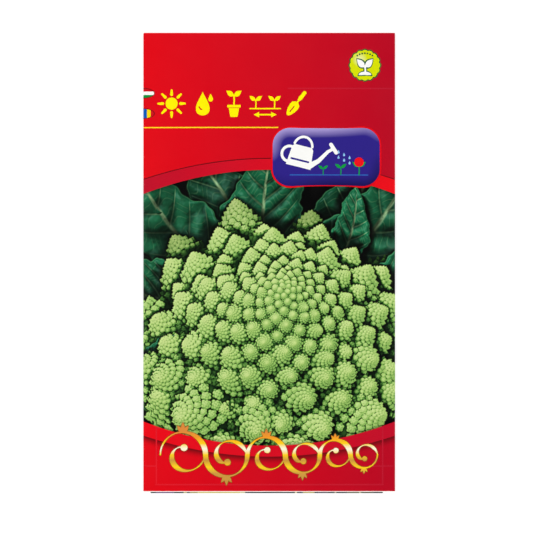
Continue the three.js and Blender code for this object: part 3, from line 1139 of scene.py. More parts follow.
def running_scroll(start, axis, radii):
    """A stem of half circles to and fro along an axis, each of them with a branch that winds inwards."""
    stem, branches = [], []
    for number, radius in enumerate(radii):
        side = (-1) ** number
        middle = np.array([start + radius, axis(start + radius)])
        half_circle = middle + radius * around(np.radians(np.linspace(180, 0, SCROLL_STEPS + 1)) * side)
        stem.append(half_circle[:-1])
        wound = np.linspace(0, 1.55 * math.pi, 40)
        branches.append(middle + radius * np.exp(-0.235 * wound)[:, None] * around(-side * wound))
        start += 2 * radius
    return np.concatenate([*stem, half_circle[-1:]]), branches


def pen_width(path, thin, thick, nib):
    """Half widths of a line drawn by a broad pen held at this angle, in degrees, which taper to its ends."""
    along = np.gradient(np.asarray(path, float), axis=0)
    turn = np.arctan2(along[:, 1], along[:, 0])
    press = np.abs(np.sin(turn - math.radians(nib))) ** 1.7
    run = np.linspace(0, 1, len(path))
    taper = soft_step(run, -0.02, 0.16) * soft_step(1 - run, -0.03, 0.22)
    return 0.5 * (thin + (thick - thin) * press * taper)


# ---------------------------------------------------------------- settings

def ink(code):
    """The linear colour of a six-digit hex ink code."""
    shares = [int(code[k:k + 2], 16) / 255 for k in (0, 2, 4)]
    return tuple(s / 12.92 if s <= 0.04045 else ((s + 0.055) / 1.055) ** 2.4 for s in shares)


def a_length(name, description, millimetres):
    return FloatProperty(
        name=name, description=description, default=millimetres * MM, min=0, unit="LENGTH", precision=5,
    )


def an_amount(name, description, default):
    return FloatProperty(name=name, description=description, default=default, min=0)


def a_colour(name, description, code):
    return FloatVectorProperty(
        name=name, description=description, default=ink(code), size=3, min=0, max=1, subtype="COLOR",
    )


class PacketPaper(bpy.types.PropertyGroup):
    """The sheet that the packet is folded from."""

    grid: a_length("Sheet grid", "Distance between the sheet's points", 0.8)
    crease: a_length("Corner creases", "Depth of the slack creases that fan from the corners", 0.1)
    wave: a_length("Waves", "Height of the slow waves over the front", 0.07)
    seed_bump: a_length("Seed bumps", "How far a seed shows through the front", 0.05)
    unprinted_edge: a_length("Unprinted edge", "White strip left along the bottom fold", 0.21)
    film_gap: a_length("Film gap", "Clearance between one printed layer and the next", 0.007)
    film: a_length("Film", "Thickness of a printed layer", 0.012)
    bare: a_colour("Bare paper", "The uncoated inside of the sheet", "efece2")
    coated: a_colour("Coated paper", "The white printing side of the sheet", "f6f5ef")
    paste: a_colour("Paste", "The dried paste in the seams", "e8dfc4")
    seed_dark: a_colour("Dark seed coat", "The darkest tone of a seed", "2a1a14")
    seed_light: a_colour("Light seed coat", "The lightest tone of a seed", "6b4632")


class PacketPrint(bpy.types.PropertyGroup):
    """What is printed on the packet."""

    wrap: a_length("Wrap", "How far the front's print runs round the side folds", 1.6)
    ground_left: a_colour("Ground, left", "The red ground at the left edge", "e20515")
    ground_right: a_colour("Ground, right", "The red ground at the right edge", "b70521")
    band_dark: a_colour("Band, dark end", "The darker end of the bands beside the picture", "be0c28")
    band_bright: a_colour("Band, bright end", "The brighter end of the bands beside the picture", "ec0817")
    edge_left: a_colour("Seam marks, left", "The faint lines in the red ground, at the left", "e41e2b")
    edge_right: a_colour("Seam marks, right", "The faint lines in the red ground, at the right", "bd1a31")
    band_line: a_colour("Band line", "The thin dark line along each band", "6e0710")
    picture_grid: a_length("Picture grid", "Distance between the picture's points", 0.155)
    picture_seed: IntProperty(name="Picture seed", description="Picks one drawing of it", default=5, min=0)
    picture_top: a_length("Picture top", "Height of the picture's top edge at the packet's middle line", 29.5)
    picture_drop: a_length("Picture curve", "How far the picture's edges fall or rise towards the sides", 7.5)
    picture_foot: a_length("Picture foot", "Distance of the picture's foot below the packet's middle", 58.0)
    band_width: a_length("Band width", "Width of each band at the middle", 3.5)
    yellow: a_colour("Yellow", "The growing signs' yellow", "fff200")
    rule: a_colour("Rule", "The thin rule under the growing signs", "ffdb1e")
    lime: a_colour("Lime", "The round badge's ground", "d7e000")
    badge_green: a_colour("Badge green", "The badge's dark outlines", "0b5a33")
    leaf_green: a_colour("Leaf green", "The seedlings on the plaque", "0f9b3c")
    berry: a_colour("Berry", "The round fruit on the plaque", "f0101c")
    water: a_colour("Water", "The water drops and the ground line on the plaque", "2f6fc4")
    violet: a_colour("Violet", "The plaque's ground", "2e2285")
    gilding: a_colour("Gilding", "The brightest yellow of the gilt scroll", "ffd21a")


class PacketStage(bpy.types.PropertyGroup):
    """The table with its glow, the lights and the camera."""

    floor_size: a_length("Floor size", "Side of the floor", 9000)
    floor_colour: a_colour("Floor", "The pale floor's own colour", "b0b0b0")
    floor_glow: an_amount("Floor glow", "Light that comes up through the floor", 0.62)
    camera_height: a_length("Camera height", "Height of the camera above the table", 894.8)
    lens: an_amount("Lens", "Focal length on a 36 mm sensor, in millimetres", 190)
    light: an_amount("Light", "Strength of the four lamps", 1.0)
    softness: an_amount("Softness", "Angle that each lamp fills, in degrees", 18)
    walls: an_amount("Walls", "Brightness of the studio's walls", 1.02)


# ---------------------------------------------------------------- printed strips that cross the front

def across_columns(spacing, wrap):
    """Positions across the front from behind one fold to behind the other, close together in the bends."""
    bend, behind = 9, 3  # points in each bend, and past it
    behind_left = [-LEFT.start - wrap, -LEFT.start - LEFT.arc, -LEFT.start]
    behind_right = [RIGHT.start, RIGHT.start + RIGHT.arc, RIGHT.start + wrap]
    return np.unique(np.concatenate([
        np.linspace(*behind_left[:2], behind), np.linspace(*behind_left[1:], bend),
        stations(-LEFT.start, RIGHT.start, spacing),
        np.linspace(*behind_right[:2], bend), np.linspace(*behind_right[1:], behind),
    ]))


def arch(middle, rise):
    """A curve across the front: this high at the middle line, and rise higher at the side folds."""
    return lambda u: middle + rise * (u / LEFT.start) ** 2


def picture_edges(offset=0.0):
    """The curves along the picture's foot and its top, moved this far outwards at the middle line."""
    prints = bpy.context.scene.packet_print
    flatter = 1 - 0.13 * soft_step(offset, 0, prints.band_width)
    foot = arch(-prints.picture_foot - offset, prints.picture_drop * flatter)
    top = arch(prints.picture_top + offset, -prints.picture_drop * flatter)
    return foot, top


def strip_layout(lower, upper, spacing, rows):
    """Flat points and quads between two curves that cross the whole front and turn round both side folds."""
    us = across_columns(spacing, bpy.context.scene.packet_print.wrap)
    share = np.linspace(0, 1, rows + 1)[:, None]
    strip = Patchwork()
    strip.add(us[None, :], lower(us) + share * (upper(us) - lower(us)))
    return strip.points[0], strip.faces[0]


def grid_outline(columns, rows):
    """Indices round the edge of a grid of points, counter-clockwise."""
    index = np.arange(columns * rows).reshape(rows, columns)
    return np.concatenate([index[0, :-1], index[:-1, -1], index[-1, :0:-1], index[:0:-1, 0]])


def picture_strip(name, lower, upper, colours, material):
    """A part of the picture: a fine grid on top that holds its colours, over a coarser underside."""
    look, prints = bpy.context.scene.packet_paper, bpy.context.scene.packet_print
    rows = math.ceil(float(np.max(upper(np.zeros(1)) - lower(np.zeros(1)))) / prints.picture_grid)
    flat, quads = strip_layout(lower, upper, prints.picture_grid, rows)
    ring = grid_outline(len(flat) // (rows + 1), rows + 1)
    inner, _ = strip_layout(lower, upper, look.grid, math.ceil(rows * prints.picture_grid / look.grid))
    u, v = inner.T
    held = (v > lower(u) + look.grid / 2) & (v < upper(u) - look.grid / 2)
    held &= (u > flat[:, 0].min() + 1e-5) & (u < flat[:, 0].max() - 1e-5)
    under = np.concatenate([flat[ring], inner[held]])
    edges = np.stack([np.arange(len(ring)), np.roll(np.arange(len(ring)), -1)], -1)
    verts, _, faces, _, _, _ = delaunay_2d_cdt((under / MM).tolist(), edges.tolist(), [], 1, 1e-6)
    if len(verts) != len(under):
        raise RuntimeError(f"{name}: the underside changed its points from {len(under)} to {len(verts)}")
    faces = counter_clockwise(under, np.array(faces))[:, ::-1]

    top, bottom = film_lifts(0)
    points = np.concatenate([folded(flat[:, 0], flat[:, 1], top), folded(under[:, 0], under[:, 1], bottom)])
    following = np.roll(ring, -1)
    below = np.arange(len(ring)) + len(flat)
    rim = np.stack([following, ring, below, np.roll(below, -1)], -1)
    piece = add_piece(name, points, [quads, faces + len(flat), rim], material)
    both = np.concatenate([flat, under])
    shades = np.ones((len(both), 4), np.float32)
    shades[:, :3] = picture_samples(colours, both)
    attribute = piece.data.attributes.new("print", "FLOAT_COLOR", "POINT")
    attribute.data.foreach_set("color", shades.ravel())

    set_bake_map(piece, both, quads, faces + len(flat), rim)
    crease_edges(piece, CREASE_ANGLE + 10)
    return piece


def set_bake_map(piece, flat, face, underside, rim):
    """Unwraps a strip: nearly all of the map is its face, over a thin row for the underside and the rim."""
    low, high = flat.min(0), flat.max(0)
    across, up = ((flat - low) / (high - low)).T
    run = np.arange(len(rim)) / len(rim)
    rim_across = np.stack([run + 1 / len(rim), run, run, run + 1 / len(rim)], -1)
    rim_up = np.broadcast_to([0.095, 0.095, 0.085, 0.085], rim.shape)
    chart = np.concatenate([
        np.stack([across[face], 0.1 + 0.9 * up[face]], -1).reshape(-1, 2),
        np.stack([across[underside], 0.08 * up[underside]], -1).reshape(-1, 2),
        np.stack([rim_across, rim_up], -1).reshape(-1, 2),
    ])
    piece.data.uv_layers.new(name="OFBake").data.foreach_set("uv", chart.astype(np.float32).ravel())


def picture_samples(colours, flat):
    """The picture's colours at flat points, read smoothly and darkened beside the bands as by a shadow."""
    foot, top = picture_edges()
    rows, columns = colours.shape[:2]
    middle = (foot(0) + top(0)) / 2
    column = np.clip(flat[:, 0] / MM * FINENESS + columns / 2 - 0.5, 0, columns - 1.001)
    row = np.clip((flat[:, 1] - middle) / MM * FINENESS + rows / 2 - 0.5, 0, rows - 1.001)
    left, below = column.astype(int), row.astype(int)
    right_share, up_share = (column - left)[:, None], (row - below)[:, None]
    lower = colours[below, left] * (1 - right_share) + colours[below, left + 1] * right_share
    upper = colours[below + 1, left] * (1 - right_share) + colours[below + 1, left + 1] * right_share
    read = lower * (1 - up_share) + upper * up_share
    to_edge = np.minimum(top(flat[:, 0]) - flat[:, 1], 1.6 * (flat[:, 1] - foot(flat[:, 0])))
    return read * (0.3 + 0.7 * soft_step(to_edge, -0.4 * MM, 1.7 * MM))[:, None]


def film_strip(name, lower, upper, material, rows=4, paint=None):
    flat, quads = strip_layout(lower, upper, bpy.context.scene.packet_paper.grid, rows)
    return print_layout(name, flat, [quads], 0, material, paint)


# ---------------------------------------------------------------- operators

class PACKET_OT_envelope(bpy.types.Operator):
    """Folds the sheet: a slightly bellied front, a lapped back and two end flaps"""

    bl_idname = "packet.envelope"
    bl_label = "Fold the envelope"

    def execute(self, context):
        look, prints = context.scene.packet_paper, context.scene.packet_print
        flat, quads = paper_layout(look, prints.wrap)
        bare = paper_material("bare_paper", look.bare, roughness=0.72, fibre_depth=9e-3 * MM, strength=1)
        coated = paper_material("coated_paper", look.coated, roughness=0.42, strength=1)
        red = sweep(prints.ground_left, prints.ground_right)
        ground = paper_material("red_ground", red)
        rubbed = paper_material("rubbed_red", red, roughness=0.6, gloss=0.02)
        piece = closed_sheet("paper_envelope", flat, [quads], 0, -PAPER, bare)
        for finish in (coated, ground, rubbed):
            piece.data.materials.append(finish)
        on_coated, on_ground, on_rubbed = 1, 2, 3  # places in that list, where bare paper is 0
        middle = flat[quads].mean(1)
        bent = (middle[:, 0] < -LEFT.start) | (middle[:, 0] > RIGHT.start) | (middle[:, 1] > TOP.start)
        printed = (middle[:, 0] > -LEFT.start - prints.wrap) & (middle[:, 0] < RIGHT.start + prints.wrap)
        printed &= middle[:, 1] > -BOTTOM.start + look.unprinted_edge
        finishes = np.zeros(len(piece.data.polygons), np.int32)
        finishes[:len(quads)] = np.where(printed, np.where(bent, on_rubbed, on_ground), on_coated)
        piece.data.polygons.foreach_set("material_index", finishes)
        crease_edges(piece, CREASE_ANGLE)
        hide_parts(*PANEL_NODES)
        return {"FINISHED"}


class PACKET_OT_picture(bpy.types.Operator):
    """Prints the picture of a romanesco head across the front, in strips one above another"""

    bl_idname = "packet.picture"
    bl_label = "Print the picture"

    def execute(self, context):
        prints = context.scene.packet_print
        colours = picture_colours(prints.picture_seed)
        material = paper_material("printed_picture", painted, unevenness=0.04)
        foot, top = picture_edges()
        shares = np.linspace(0, 1, PICTURE_STRIPS + 1)
        cuts = [lambda u, share=share: foot(u) + share * (top(u) - foot(u)) for share in shares]
        for number in range(PICTURE_STRIPS):
            picture_strip(f"picture_strip_{number + 1}", *cuts[number:number + 2], colours, material)
        return {"FINISHED"}


class PACKET_OT_bands(bpy.types.Operator):
    """Prints a red band along each edge of the picture, with a thin dark line and a soft shadow"""

    bl_idname = "packet.bands"
    bl_label = "Print the bands"

    def execute(self, context):
        prints = context.scene.packet_print
        band = paper_material("band_red", sweep(prints.band_dark, prints.band_bright))
        low_band = paper_material("low_band_red", sweep(prints.band_bright, prints.band_dark))
        fading = shaded_sweep(prints.ground_left, prints.ground_right, prints.band_line)
        beside = paper_material("band_shadow", fading)
        foot, top = picture_edges()
        foot_line, top_line = picture_edges(prints.band_width)
        film_strip("band_above_picture", top, top_line, band)
        film_strip("band_below_picture", foot_line, foot, low_band)
        for name, edge, sign, line_width, fade in (
            ("line_above_picture", top_line, 1, 0.26 * MM, 0.14 * MM),
            ("line_below_picture", foot_line, -1, 0.25 * MM, 2.6 * MM),
        ):
            def outer(u, edge=edge, reach=sign * (line_width + fade)):
                return edge(u) + reach

            def shade(flat, edge=edge, line_width=line_width, fade=fade):
                away = np.abs(flat[:, 1] - edge(flat[:, 0]))
                return soft_step(away, line_width - 0.1 * fade, line_width + fade) ** 0.7

            lower, upper = (edge, outer) if sign > 0 else (outer, edge)
            film_strip(name, lower, upper, beside, rows=10, paint=shade)
        return {"FINISHED"}


SEAM_MARKS = (  # the two ends of each mark, in millimetres from the middle of the front
    ((6, 55.4), (39.3, 55.4)), ((-36.05, -70.45), (36.25, -70.45)), ((-35.85, -70.0), (-35.85, -52.9)),
    ((-36.05, -52.4), (-34.9, -52.4)), ((-39.3, -64.55), (-36.2, -64.55)), ((36.05, -70.0), (36.05, -52.9)),
    ((34.9, -52.4), (36.25, -52.4)), ((33.0, -64.55), (39.3, -64.55)),
)


class PACKET_OT_seam_marks(bpy.types.Operator):
    """Draws the faint paler lines in the red ground, one over the signs and the others round the scroll"""

    bl_idname = "packet.seam_marks"
    bl_label = "Draw the seam marks"

    def execute(self, context):
        prints = context.scene.packet_print
        faint = paper_material("seam_mark", sweep(prints.edge_left, prints.edge_right))
        shapes = [[line(np.array(start) * MM, np.array(end) * MM, 0.2 * MM, 30)] for start, end in SEAM_MARKS]
        front_piece("seam_marks", shapes, 1, faint)
        return {"FINISHED"}


class PACKET_OT_growing_signs(bpy.types.Operator):
    """Prints the yellow row of growing signs"""

    bl_idname = "packet.growing_signs"
    bl_label = "Print the growing signs"

    def execute(self, context):
        prints = context.scene.packet_print
        yellow = paper_material("printed_yellow", prints.yellow)
        signs = (
            ("sun", sun_motif(), 9.2, 0), ("drop", drop_motif(), 7.6, 0), ("pot", pot_motif(), 8.6, 0),
            ("spacing", spacing_motif(), 9.6, 0), ("trowel", trowel_motif(), 9.0, -38),
        )
        first, step, height = -31.0, 9.9, 50.6
        for number, (name, shapes, size, turn) in enumerate(signs):
            centre = np.array([first + step * number, height]) * MM
            front_piece(f"sign_{name}", placed(shapes, centre, size * MM, turn), 0, yellow)
        return {"FINISHED"}


class PACKET_OT_rule(bpy.types.Operator):
    """Prints the thin rule under the growing signs, which comes round the left fold"""

    bl_idname = "packet.rule"
    bl_label = "Print the rule"

    def execute(self, context):
        height, end, half_width = 42.98 * MM, 2.9 * MM, 0.18 * MM
        run = across_columns(0.6 * MM, LEFT.arc)
        run = run[run < end]
        path = np.stack([run, np.full(len(run), height)], -1)
        gold = paper_material("printed_rule", context.scene.packet_print.rule)
        front_piece("rule", [[stroke(path, half_width)]], 0, gold)
        return {"FINISHED"}


class PACKET_OT_ovals(bpy.types.Operator):
    """Prints the two striped ovals that the left fold cuts in half"""

    bl_idname = "packet.ovals"
    bl_label = "Print the ovals"

    def execute(self, context):
        dark = paper_material("oval_outline", context.scene.packet_print.band_line)
        half, spacing = np.array([3.61, 1.5]) * MM, 0.1 * MM
        outside, inside = (
            densely(circle((0, 0), 1, 64) * (half + wider), spacing) for wider in (0.17 * MM, -0.03 * MM)
        )
        for name, height, bounds, stripes, upright in (
            ("upper", 53.92 * MM, (-1, -0.35, 0.38, 1), ("d0101c", "fffdf8", "00923a"), False),
            ("lower", 47.45 * MM, (-1, 0.36, 0.69, 1), ("0059b8", "fbdc08", "d0101c"), True),
        ):
            centre = np.array([-LEFT.start - LEFT.arc / 2, height])
            ring = [centre + outside, centre + inside[::-1]]
            front_piece(f"oval_{name}_outline", [ring], 1, dark, spacing)
            for number, (low, high, code) in enumerate(zip(bounds, bounds[1:], stripes)):
                cut = centre + densely(stripe_of_circle(low, high, upright) * half, spacing)
                stripe_ink = paper_material(f"oval_{code}", ink(code))
                front_piece(f"oval_{name}_{number + 1}", [[cut]], 0, stripe_ink, 1.2 * spacing)
        return {"FINISHED"}


class PACKET_OT_badge(bpy.types.Operator):
    """Prints the round lime badge with its sprout"""

    bl_idname = "packet.badge"
    bl_label = "Print the badge"

    def execute(self, context):
        prints = context.scene.packet_print
        centre = np.array([30.4, 62.8]) * MM
        green = paper_material("badge_green", prints.badge_green)
        pale = tuple(0.55 * channel + 0.45 for channel in prints.lime)
        lime = paper_material("badge_lime", shade_ramp((0, prints.lime), (0.6, prints.lime), (1, pale)))

        def glow(flat):
            away = (flat - centre - np.array([-1.6, 1.8]) * MM) / (6 * MM)
            return np.clip(1 - np.hypot(*away.T), 0, 1)

        rim, face, lobes, notch = 5.27 * MM, 4.9 * MM, 16, 0.07
        front_piece("badge_rim", [[scalloped(centre, rim, lobes, notch)]], 0, green)
        front_piece("badge_face", [[scalloped(centre, face, lobes, notch)]], 1, lime, 0.6 * MM, glow)
        seeds = [[circle(0.62 * heading(turn), 0.042, 14)] for turn in range(54, 127, 12)]
        for name, shapes, layer, finish in (
            ("badge_sprout_edge", sprout_motif(0.05), 2, green),
            ("badge_sprout", sprout_motif(), 3, printed_white()),
            ("badge_seeds", seeds, 2, green),
        ):
            front_piece(name, placed(shapes, centre - [0, 0.25 * MM], 6.6 * MM), layer, finish, 0.8 * MM)
        return {"FINISHED"}


def pillow_shade(away, width, height, corner, rim_width):
    """The shade of a rounded box with a soft rim, at these places counted from its middle.

    The flat of the box is 0.5. The rim is lighter where it leans towards the light, and darker where it
    leans away.
    """
    past = np.abs(away) - np.array([width / 2 - corner, height / 2 - corner])
    inward = corner - np.where(
        (past > 0).all(1), np.hypot(*np.maximum(past, 0).T), past.max(1).clip(-corner, None),
    )
    rim = np.clip(1 - inward / rim_width, 0, 1)
    light = np.array([-0.32, 0.95])
    facing = unit(away / (width / 2, height / 2)) @ light
    return 0.5 + 0.5 * np.where(facing > 0, rim ** 1.1 * np.maximum(facing, 0) ** 0.8, rim * facing)


class PACKET_OT_plaque(bpy.types.Operator):
    """Prints the violet plaque with its watering can and seedlings"""

    bl_idname = "packet.plaque"
    bl_label = "Print the plaque"

    def execute(self, context):
        prints = context.scene.packet_print
        centre = np.array([18.1, 33.6]) * MM
        width, height, corner = 34 * MM, 18.5 * MM, 5.5 * MM

        def place(across, up):
            """A place on the plaque, in millimetres from its middle."""
            return centre + np.array([across, up]) * MM

        def box(grown):
            return rounded_box(centre, width + 2 * grown, height + 2 * grown, corner + grown, count=14)

        def pillow(flat):
            return pillow_shade(flat - centre, width, height, corner, 4.2 * MM)

        deep = tuple(0.28 * channel for channel in prints.violet)
        violet = paper_material("plaque_violet", shade_ramp(
            (0, deep), (0.45, prints.violet), (0.6, prints.violet), (1, ink("b3a3dc")),
        ))
        halo = paper_material("plaque_halo", prints.ground_left)
        green = paper_material("plaque_green", prints.leaf_green)
        water = paper_material("plaque_water", prints.water)
        berry = paper_material("plaque_berry", prints.berry)
        front_piece("plaque_halo", [[box(0.55 * MM)]], 1, halo)
        front_piece("plaque_ground", [[box(0)]], 2, violet, 0.62 * MM, pillow)
        can = placed(watering_can_motif(), place(-7.4, 1.5), 12.2 * MM, -14)
        front_piece("plaque_can", can, 3, printed_white())
        front_piece("plaque_soil", [[line(place(-11.5, -5.7), place(13.2, -5.7), 0.13 * MM, 20)]], 3, water)
        drops = []
        for column in range(3):
            for row in range(2):
                middle = place(3.9 + 1.75 * column, 1.7 - 1.7 * row - 0.9 * column)
                drops.append([drop_outline(middle, 1.15 * MM, 20)])
        front_piece("plaque_drops", drops, 3, paper_material("plaque_drops", ink("8fc4ef")))
        seedlings = []
        for across, size in ((-1.0, 4.4), (4.6, 5.2), (10.4, 6.2)):
            seedlings += placed(seedling_motif(0.42, 0.42), place(across, -5.5), size * MM)
        front_piece("plaque_seedlings", seedlings, 4, green)
        front_piece("plaque_berry", [[circle(place(10.4, -1.6), 1.5 * MM, 40)]], 5, berry)
        return {"FINISHED"}


class PACKET_OT_scroll(bpy.types.Operator):
    """Prints the gilt running scroll along the foot"""

    bl_idname = "packet.scroll"
    bl_label = "Print the gilt scroll"

    def execute(self, context):
        prints = context.scene.packet_print
        radii = np.linspace(7.2, 4.3, 6) * MM
        nib = 28
        stem, branches = running_scroll(-34.6 * MM, arch(-61.3 * MM, 0.8 * MM), radii)
        lines = [(stem, pen_width(stem, 0.42 * MM, 1.75 * MM, nib))]
        for branch, radius in zip(branches, radii):
            lines.append((branch, pen_width(branch, 0.3 * MM, 1.5 * MM * radius / radii[0] + 0.2 * MM, nib)))

        def drawn(wider):
            """The stem and its branches, each with a bud at its end, and three leaves on each half circle."""
            shapes = [[stroke(path, half + wider)] for path, half in lines]
            for branch, radius in zip(branches, radii):
                shapes.append([circle(branch[-1], 0.105 * radius + 0.35 * MM + wider, 26)])
            for number, radius in enumerate(radii):
                root, up = stem[SCROLL_STEPS * number + SCROLL_STEPS // 2], (-1) ** number
                for lean, share, curve in ((-54, 0.38, 0.24), (0, 0.44, 0), (54, 0.38, -0.24)):
                    turn = up * 90 + lean
                    base = root - 1.2 * wider * heading(turn)
                    length, width = share * radius + 2.6 * wider, 0.17 * radius + 2.2 * wider
                    shapes.append([leaf_outline(base, length, width, turn, curve)])
            return shapes

        foot, tall = -70 * MM, 16.6 * MM

        def height(flat):
            return np.clip((flat[:, 1] - foot) / tall, 0, 1)

        gilt = paper_material("gilt", shade_ramp(
            (0, ink("c4923f")), (0.19, ink("cf9a42")), (0.31, prints.gilding), (0.44, ink("cc943f")),
            (0.55, prints.gilding), (0.66, ink("fff9df")), (0.76, prints.gilding), (0.88, ink("f29a28")),
            (1, ink("dd8a3c")),
        ))
        edge = paper_material("gilt_edge", ink("7a3f12"))
        front_piece("scroll_edge", drawn(0.13 * MM), 1, edge, 1.0 * MM)
        front_piece("scroll", drawn(0), 2, gilt, 0.7 * MM, height)
        return {"FINISHED"}


BAR_BLACK = "1e1d1c"
BAR_PATCHES = (  # the inks of the printer's bar from left to right, and where each ends, in millimetres
    (BAR_BLACK, -36.0), ("6f4f7b", -30.3), (BAR_BLACK, -27.2), ("c9bf84", -26.2), ("45433c", -25.2),
    ("a89e55", -22.7), ("d2c26c", -9.3), ("d8d2a0", -7.7), (BAR_BLACK, 8.2), ("efe6b4", 8.8),
    (BAR_BLACK, 10.7), ("b4a860", 14.4), (BAR_BLACK, 15.7), ("4a3a48", 18.4), (BAR_BLACK, 20.8),
    ("b9b58f", 21.3), (BAR_BLACK, 24.8), ("5c5a30", 28.6), ("b9b58f", 29.2), ("4e4e2a", 32.9),
)


class PACKET_OT_colour_bar(bpy.types.Operator):
    """Prints the printer's colour patches along the bottom flap, from the start of its fold"""

    bl_idname = "packet.colour_bar"
    bl_label = "Print the colour patches"

    def execute(self, context):
        low, high = (corner.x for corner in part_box("bottom_flap"))
        margin, half_gap = 0.1 * MM, 0.015 * MM
        bend = np.linspace(0, BOTTOM.arc, BEND_STATIONS)
        rows = -BOTTOM.start - np.concatenate([bend, BOTTOM.arc + np.array([1.2, 2.6, 4.0]) * MM])
        left = low + margin
        for number, (code, end) in enumerate((*BAR_PATCHES, (BAR_BLACK, (high - margin) / MM))):
            right = end * MM
            columns = stations(left + half_gap, right - half_gap, PANEL_GRID)
            patch = Patchwork()
            patch.add(columns[None, :], rows[::-1, None])
            name = f"colour_patch_{number + 1:02d}"
            matt = paper_material(f"patch_{code}", ink(code), roughness=0.7, gloss=0.02)
            print_layout(name, patch.points[0], patch.faces, 0, matt)
            left = right
        return {"FINISHED"}


def back_ink(name, colour):
    return paper_material(f"back_{name}", colour, roughness=0.42)


class PACKET_OT_back_banner(bpy.types.Operator):
    """Prints the green banner with its row of sprouts at the head of the back"""

    bl_idname = "packet.back_banner"
    bl_label = "Print the back's banner"

    def execute(self, context):
        banner = rounded_box(back_point(0, 45.5 * MM), 68 * MM, 9.5 * MM, 2 * MM)
        green = back_ink("green", context.scene.packet_print.leaf_green)
        back_piece("back_banner", [[densely(banner, 4 * MM)]], 0, green)
        sprouts = []
        for across in np.arange(-4, 5) * 7.2 * MM:
            sprouts += placed(seedling_motif(0.42, 0.42), back_point(across, 43.2 * MM), 8.2 * MM)
        back_piece("back_banner_sprouts", sprouts, 1, printed_white())
        return {"FINISHED"}


class PACKET_OT_back_calendar(bpy.types.Operator):
    """Prints the calendar: numbered months, with a bar and a sign each for sowing, planting and picking"""

    bl_idname = "packet.back_calendar"
    bl_label = "Print the back's calendar"

    def execute(self, context):
        prints = context.scene.packet_print
        cell, row, left, top = 5.0 * MM, 5.4 * MM, -26.0 * MM, 34.0 * MM
        dark = back_ink("dark_green", prints.badge_green)

        def ruled(*ends):
            return [line(*(back_point(x, y) for x, y in ends), 0.07 * MM)]

        def middle_of(column, row_number):
            return back_point(left + column * cell, top - row_number * row)

        lines = []
        for number in range(13):
            lines.append(ruled((left + number * cell, top), (left + number * cell, top - 4 * row)))
        for number in range(5):
            height = top - number * row
            lines.append(ruled((left - 7 * MM, height), (left + 12 * cell, height)))
        back_piece("back_calendar_grid", lines, 0, back_ink("grey", ink("5d6660")))
        for number in range(12):
            points, faces = numeral_layout(str(number + 1), middle_of(number + 0.5, 0.52), 3.3 * MM)
            print_layout(f"back_month_{number + 1:02d}", points, [faces], 0, dark)
        for number, (name, first, months, finish) in enumerate((
            ("sowing", 3, 3, back_ink("lime", prints.lime)),
            ("planting", 5, 2, back_ink("green", prints.leaf_green)),
            ("picking", 8, 3, back_ink("red", prints.ground_right)),
        )):
            middle = middle_of(first + months / 2 - 1, number + 1.5)
            bar = rounded_box(middle, months * cell - 0.8 * MM, 0.56 * row, 0.25 * row)
            back_piece(f"back_{name}_bar", [[densely(bar, 3 * MM)]], 0, finish)
        for number, (name, shapes, size) in enumerate((
            ("drop", drop_motif(), 3.8), ("pot", pot_motif(), 4.4), ("sun", sun_motif(), 4.6),
        )):
            place = back_point(left - 3.6 * MM, top - (number + 1.5) * row)
            back_piece(f"back_row_{name}", placed(shapes, place, size * MM), 0, dark)
        return {"FINISHED"}


class PACKET_OT_back_signs(bpy.types.Operator):
    """Prints three growing signs in rings on the back, with lines for notes below them"""

    bl_idname = "packet.back_signs"
    bl_label = "Print the back's signs"

    def execute(self, context):
        prints = context.scene.packet_print
        green, dark = back_ink("green", prints.leaf_green), back_ink("dark_green", prints.badge_green)
        for name, across, shapes, size in (
            ("spacing", -22.5, spacing_motif(), 11.5), ("trowel", 0, trowel_motif(), 11),
            ("pot", 22.5, pot_motif(), 11),
        ):
            centre = back_point(across * MM, -7.5 * MM)
            ring = [circle(centre, 9.6 * MM, 72), circle(centre, 8.9 * MM, 72)[::-1]]
            back_piece(f"back_{name}_ring", [ring], 0, green)
            back_piece(f"back_{name}_sign", placed(shapes, centre, size * MM), 0, dark)
        notes = []
        for height in (-28 * MM, -35 * MM, -42 * MM, -49 * MM):
            notes.append([line(back_point(-33 * MM, height), back_point(33 * MM, height), 0.09 * MM, 12)])
        back_piece("back_note_lines", notes, 0, back_ink("grey", ink("5d6660")))
        return {"FINISHED"}


class PACKET_OT_contents(bpy.types.Operator):
    """Gives the seeds their coat and the seams their dried paste"""

    bl_idname = "packet.contents"
    bl_label = "Finish the contents"

    def execute(self, context):
        colour = context.scene.packet_paper.paste
        paste = paper_material(
            "dried_paste", colour, roughness=0.5, unevenness=0.12, fibre_depth=0.012 * MM, strength=1,
        )
        for names, finish in ((SEED_NODES, seed_coat()), (GLUE_NODES, paste)):
            for name in names:
                finishes = bpy.data.objects[name].data.materials
                finishes.clear()
                finishes.append(finish)
        return {"FINISHED"}


LAMPS = (  # each lamp's direction from the packet, in degrees round and up, and its strength
    ("left_light", 172, 44, 1.25), ("right_light", 8, 44, 1.1),
    ("far_light", 84, 48, 0.85), ("near_light", 264, 40, 0.65),
)
CAMERA_PLACE = -0.86 * MM, -1.14 * MM  # the point of the front that the camera stands above


def set_floor(look):
    half, height = look.floor_size / 2, CAD_BOX[0][2] - 0.02 * MM
    mesh = bpy.data.meshes.new("floor")
    corners = [(-half, -half), (half, -half), (half, half), (-half, half)]
    mesh.from_pydata([(x, y, height) for x, y in corners], [], [(0, 1, 2, 3)])
    mesh.materials.append(pale_floor(look))
    floor = bpy.data.objects.new("floor", mesh)
    bpy.context.scene.collection.objects.link(floor)


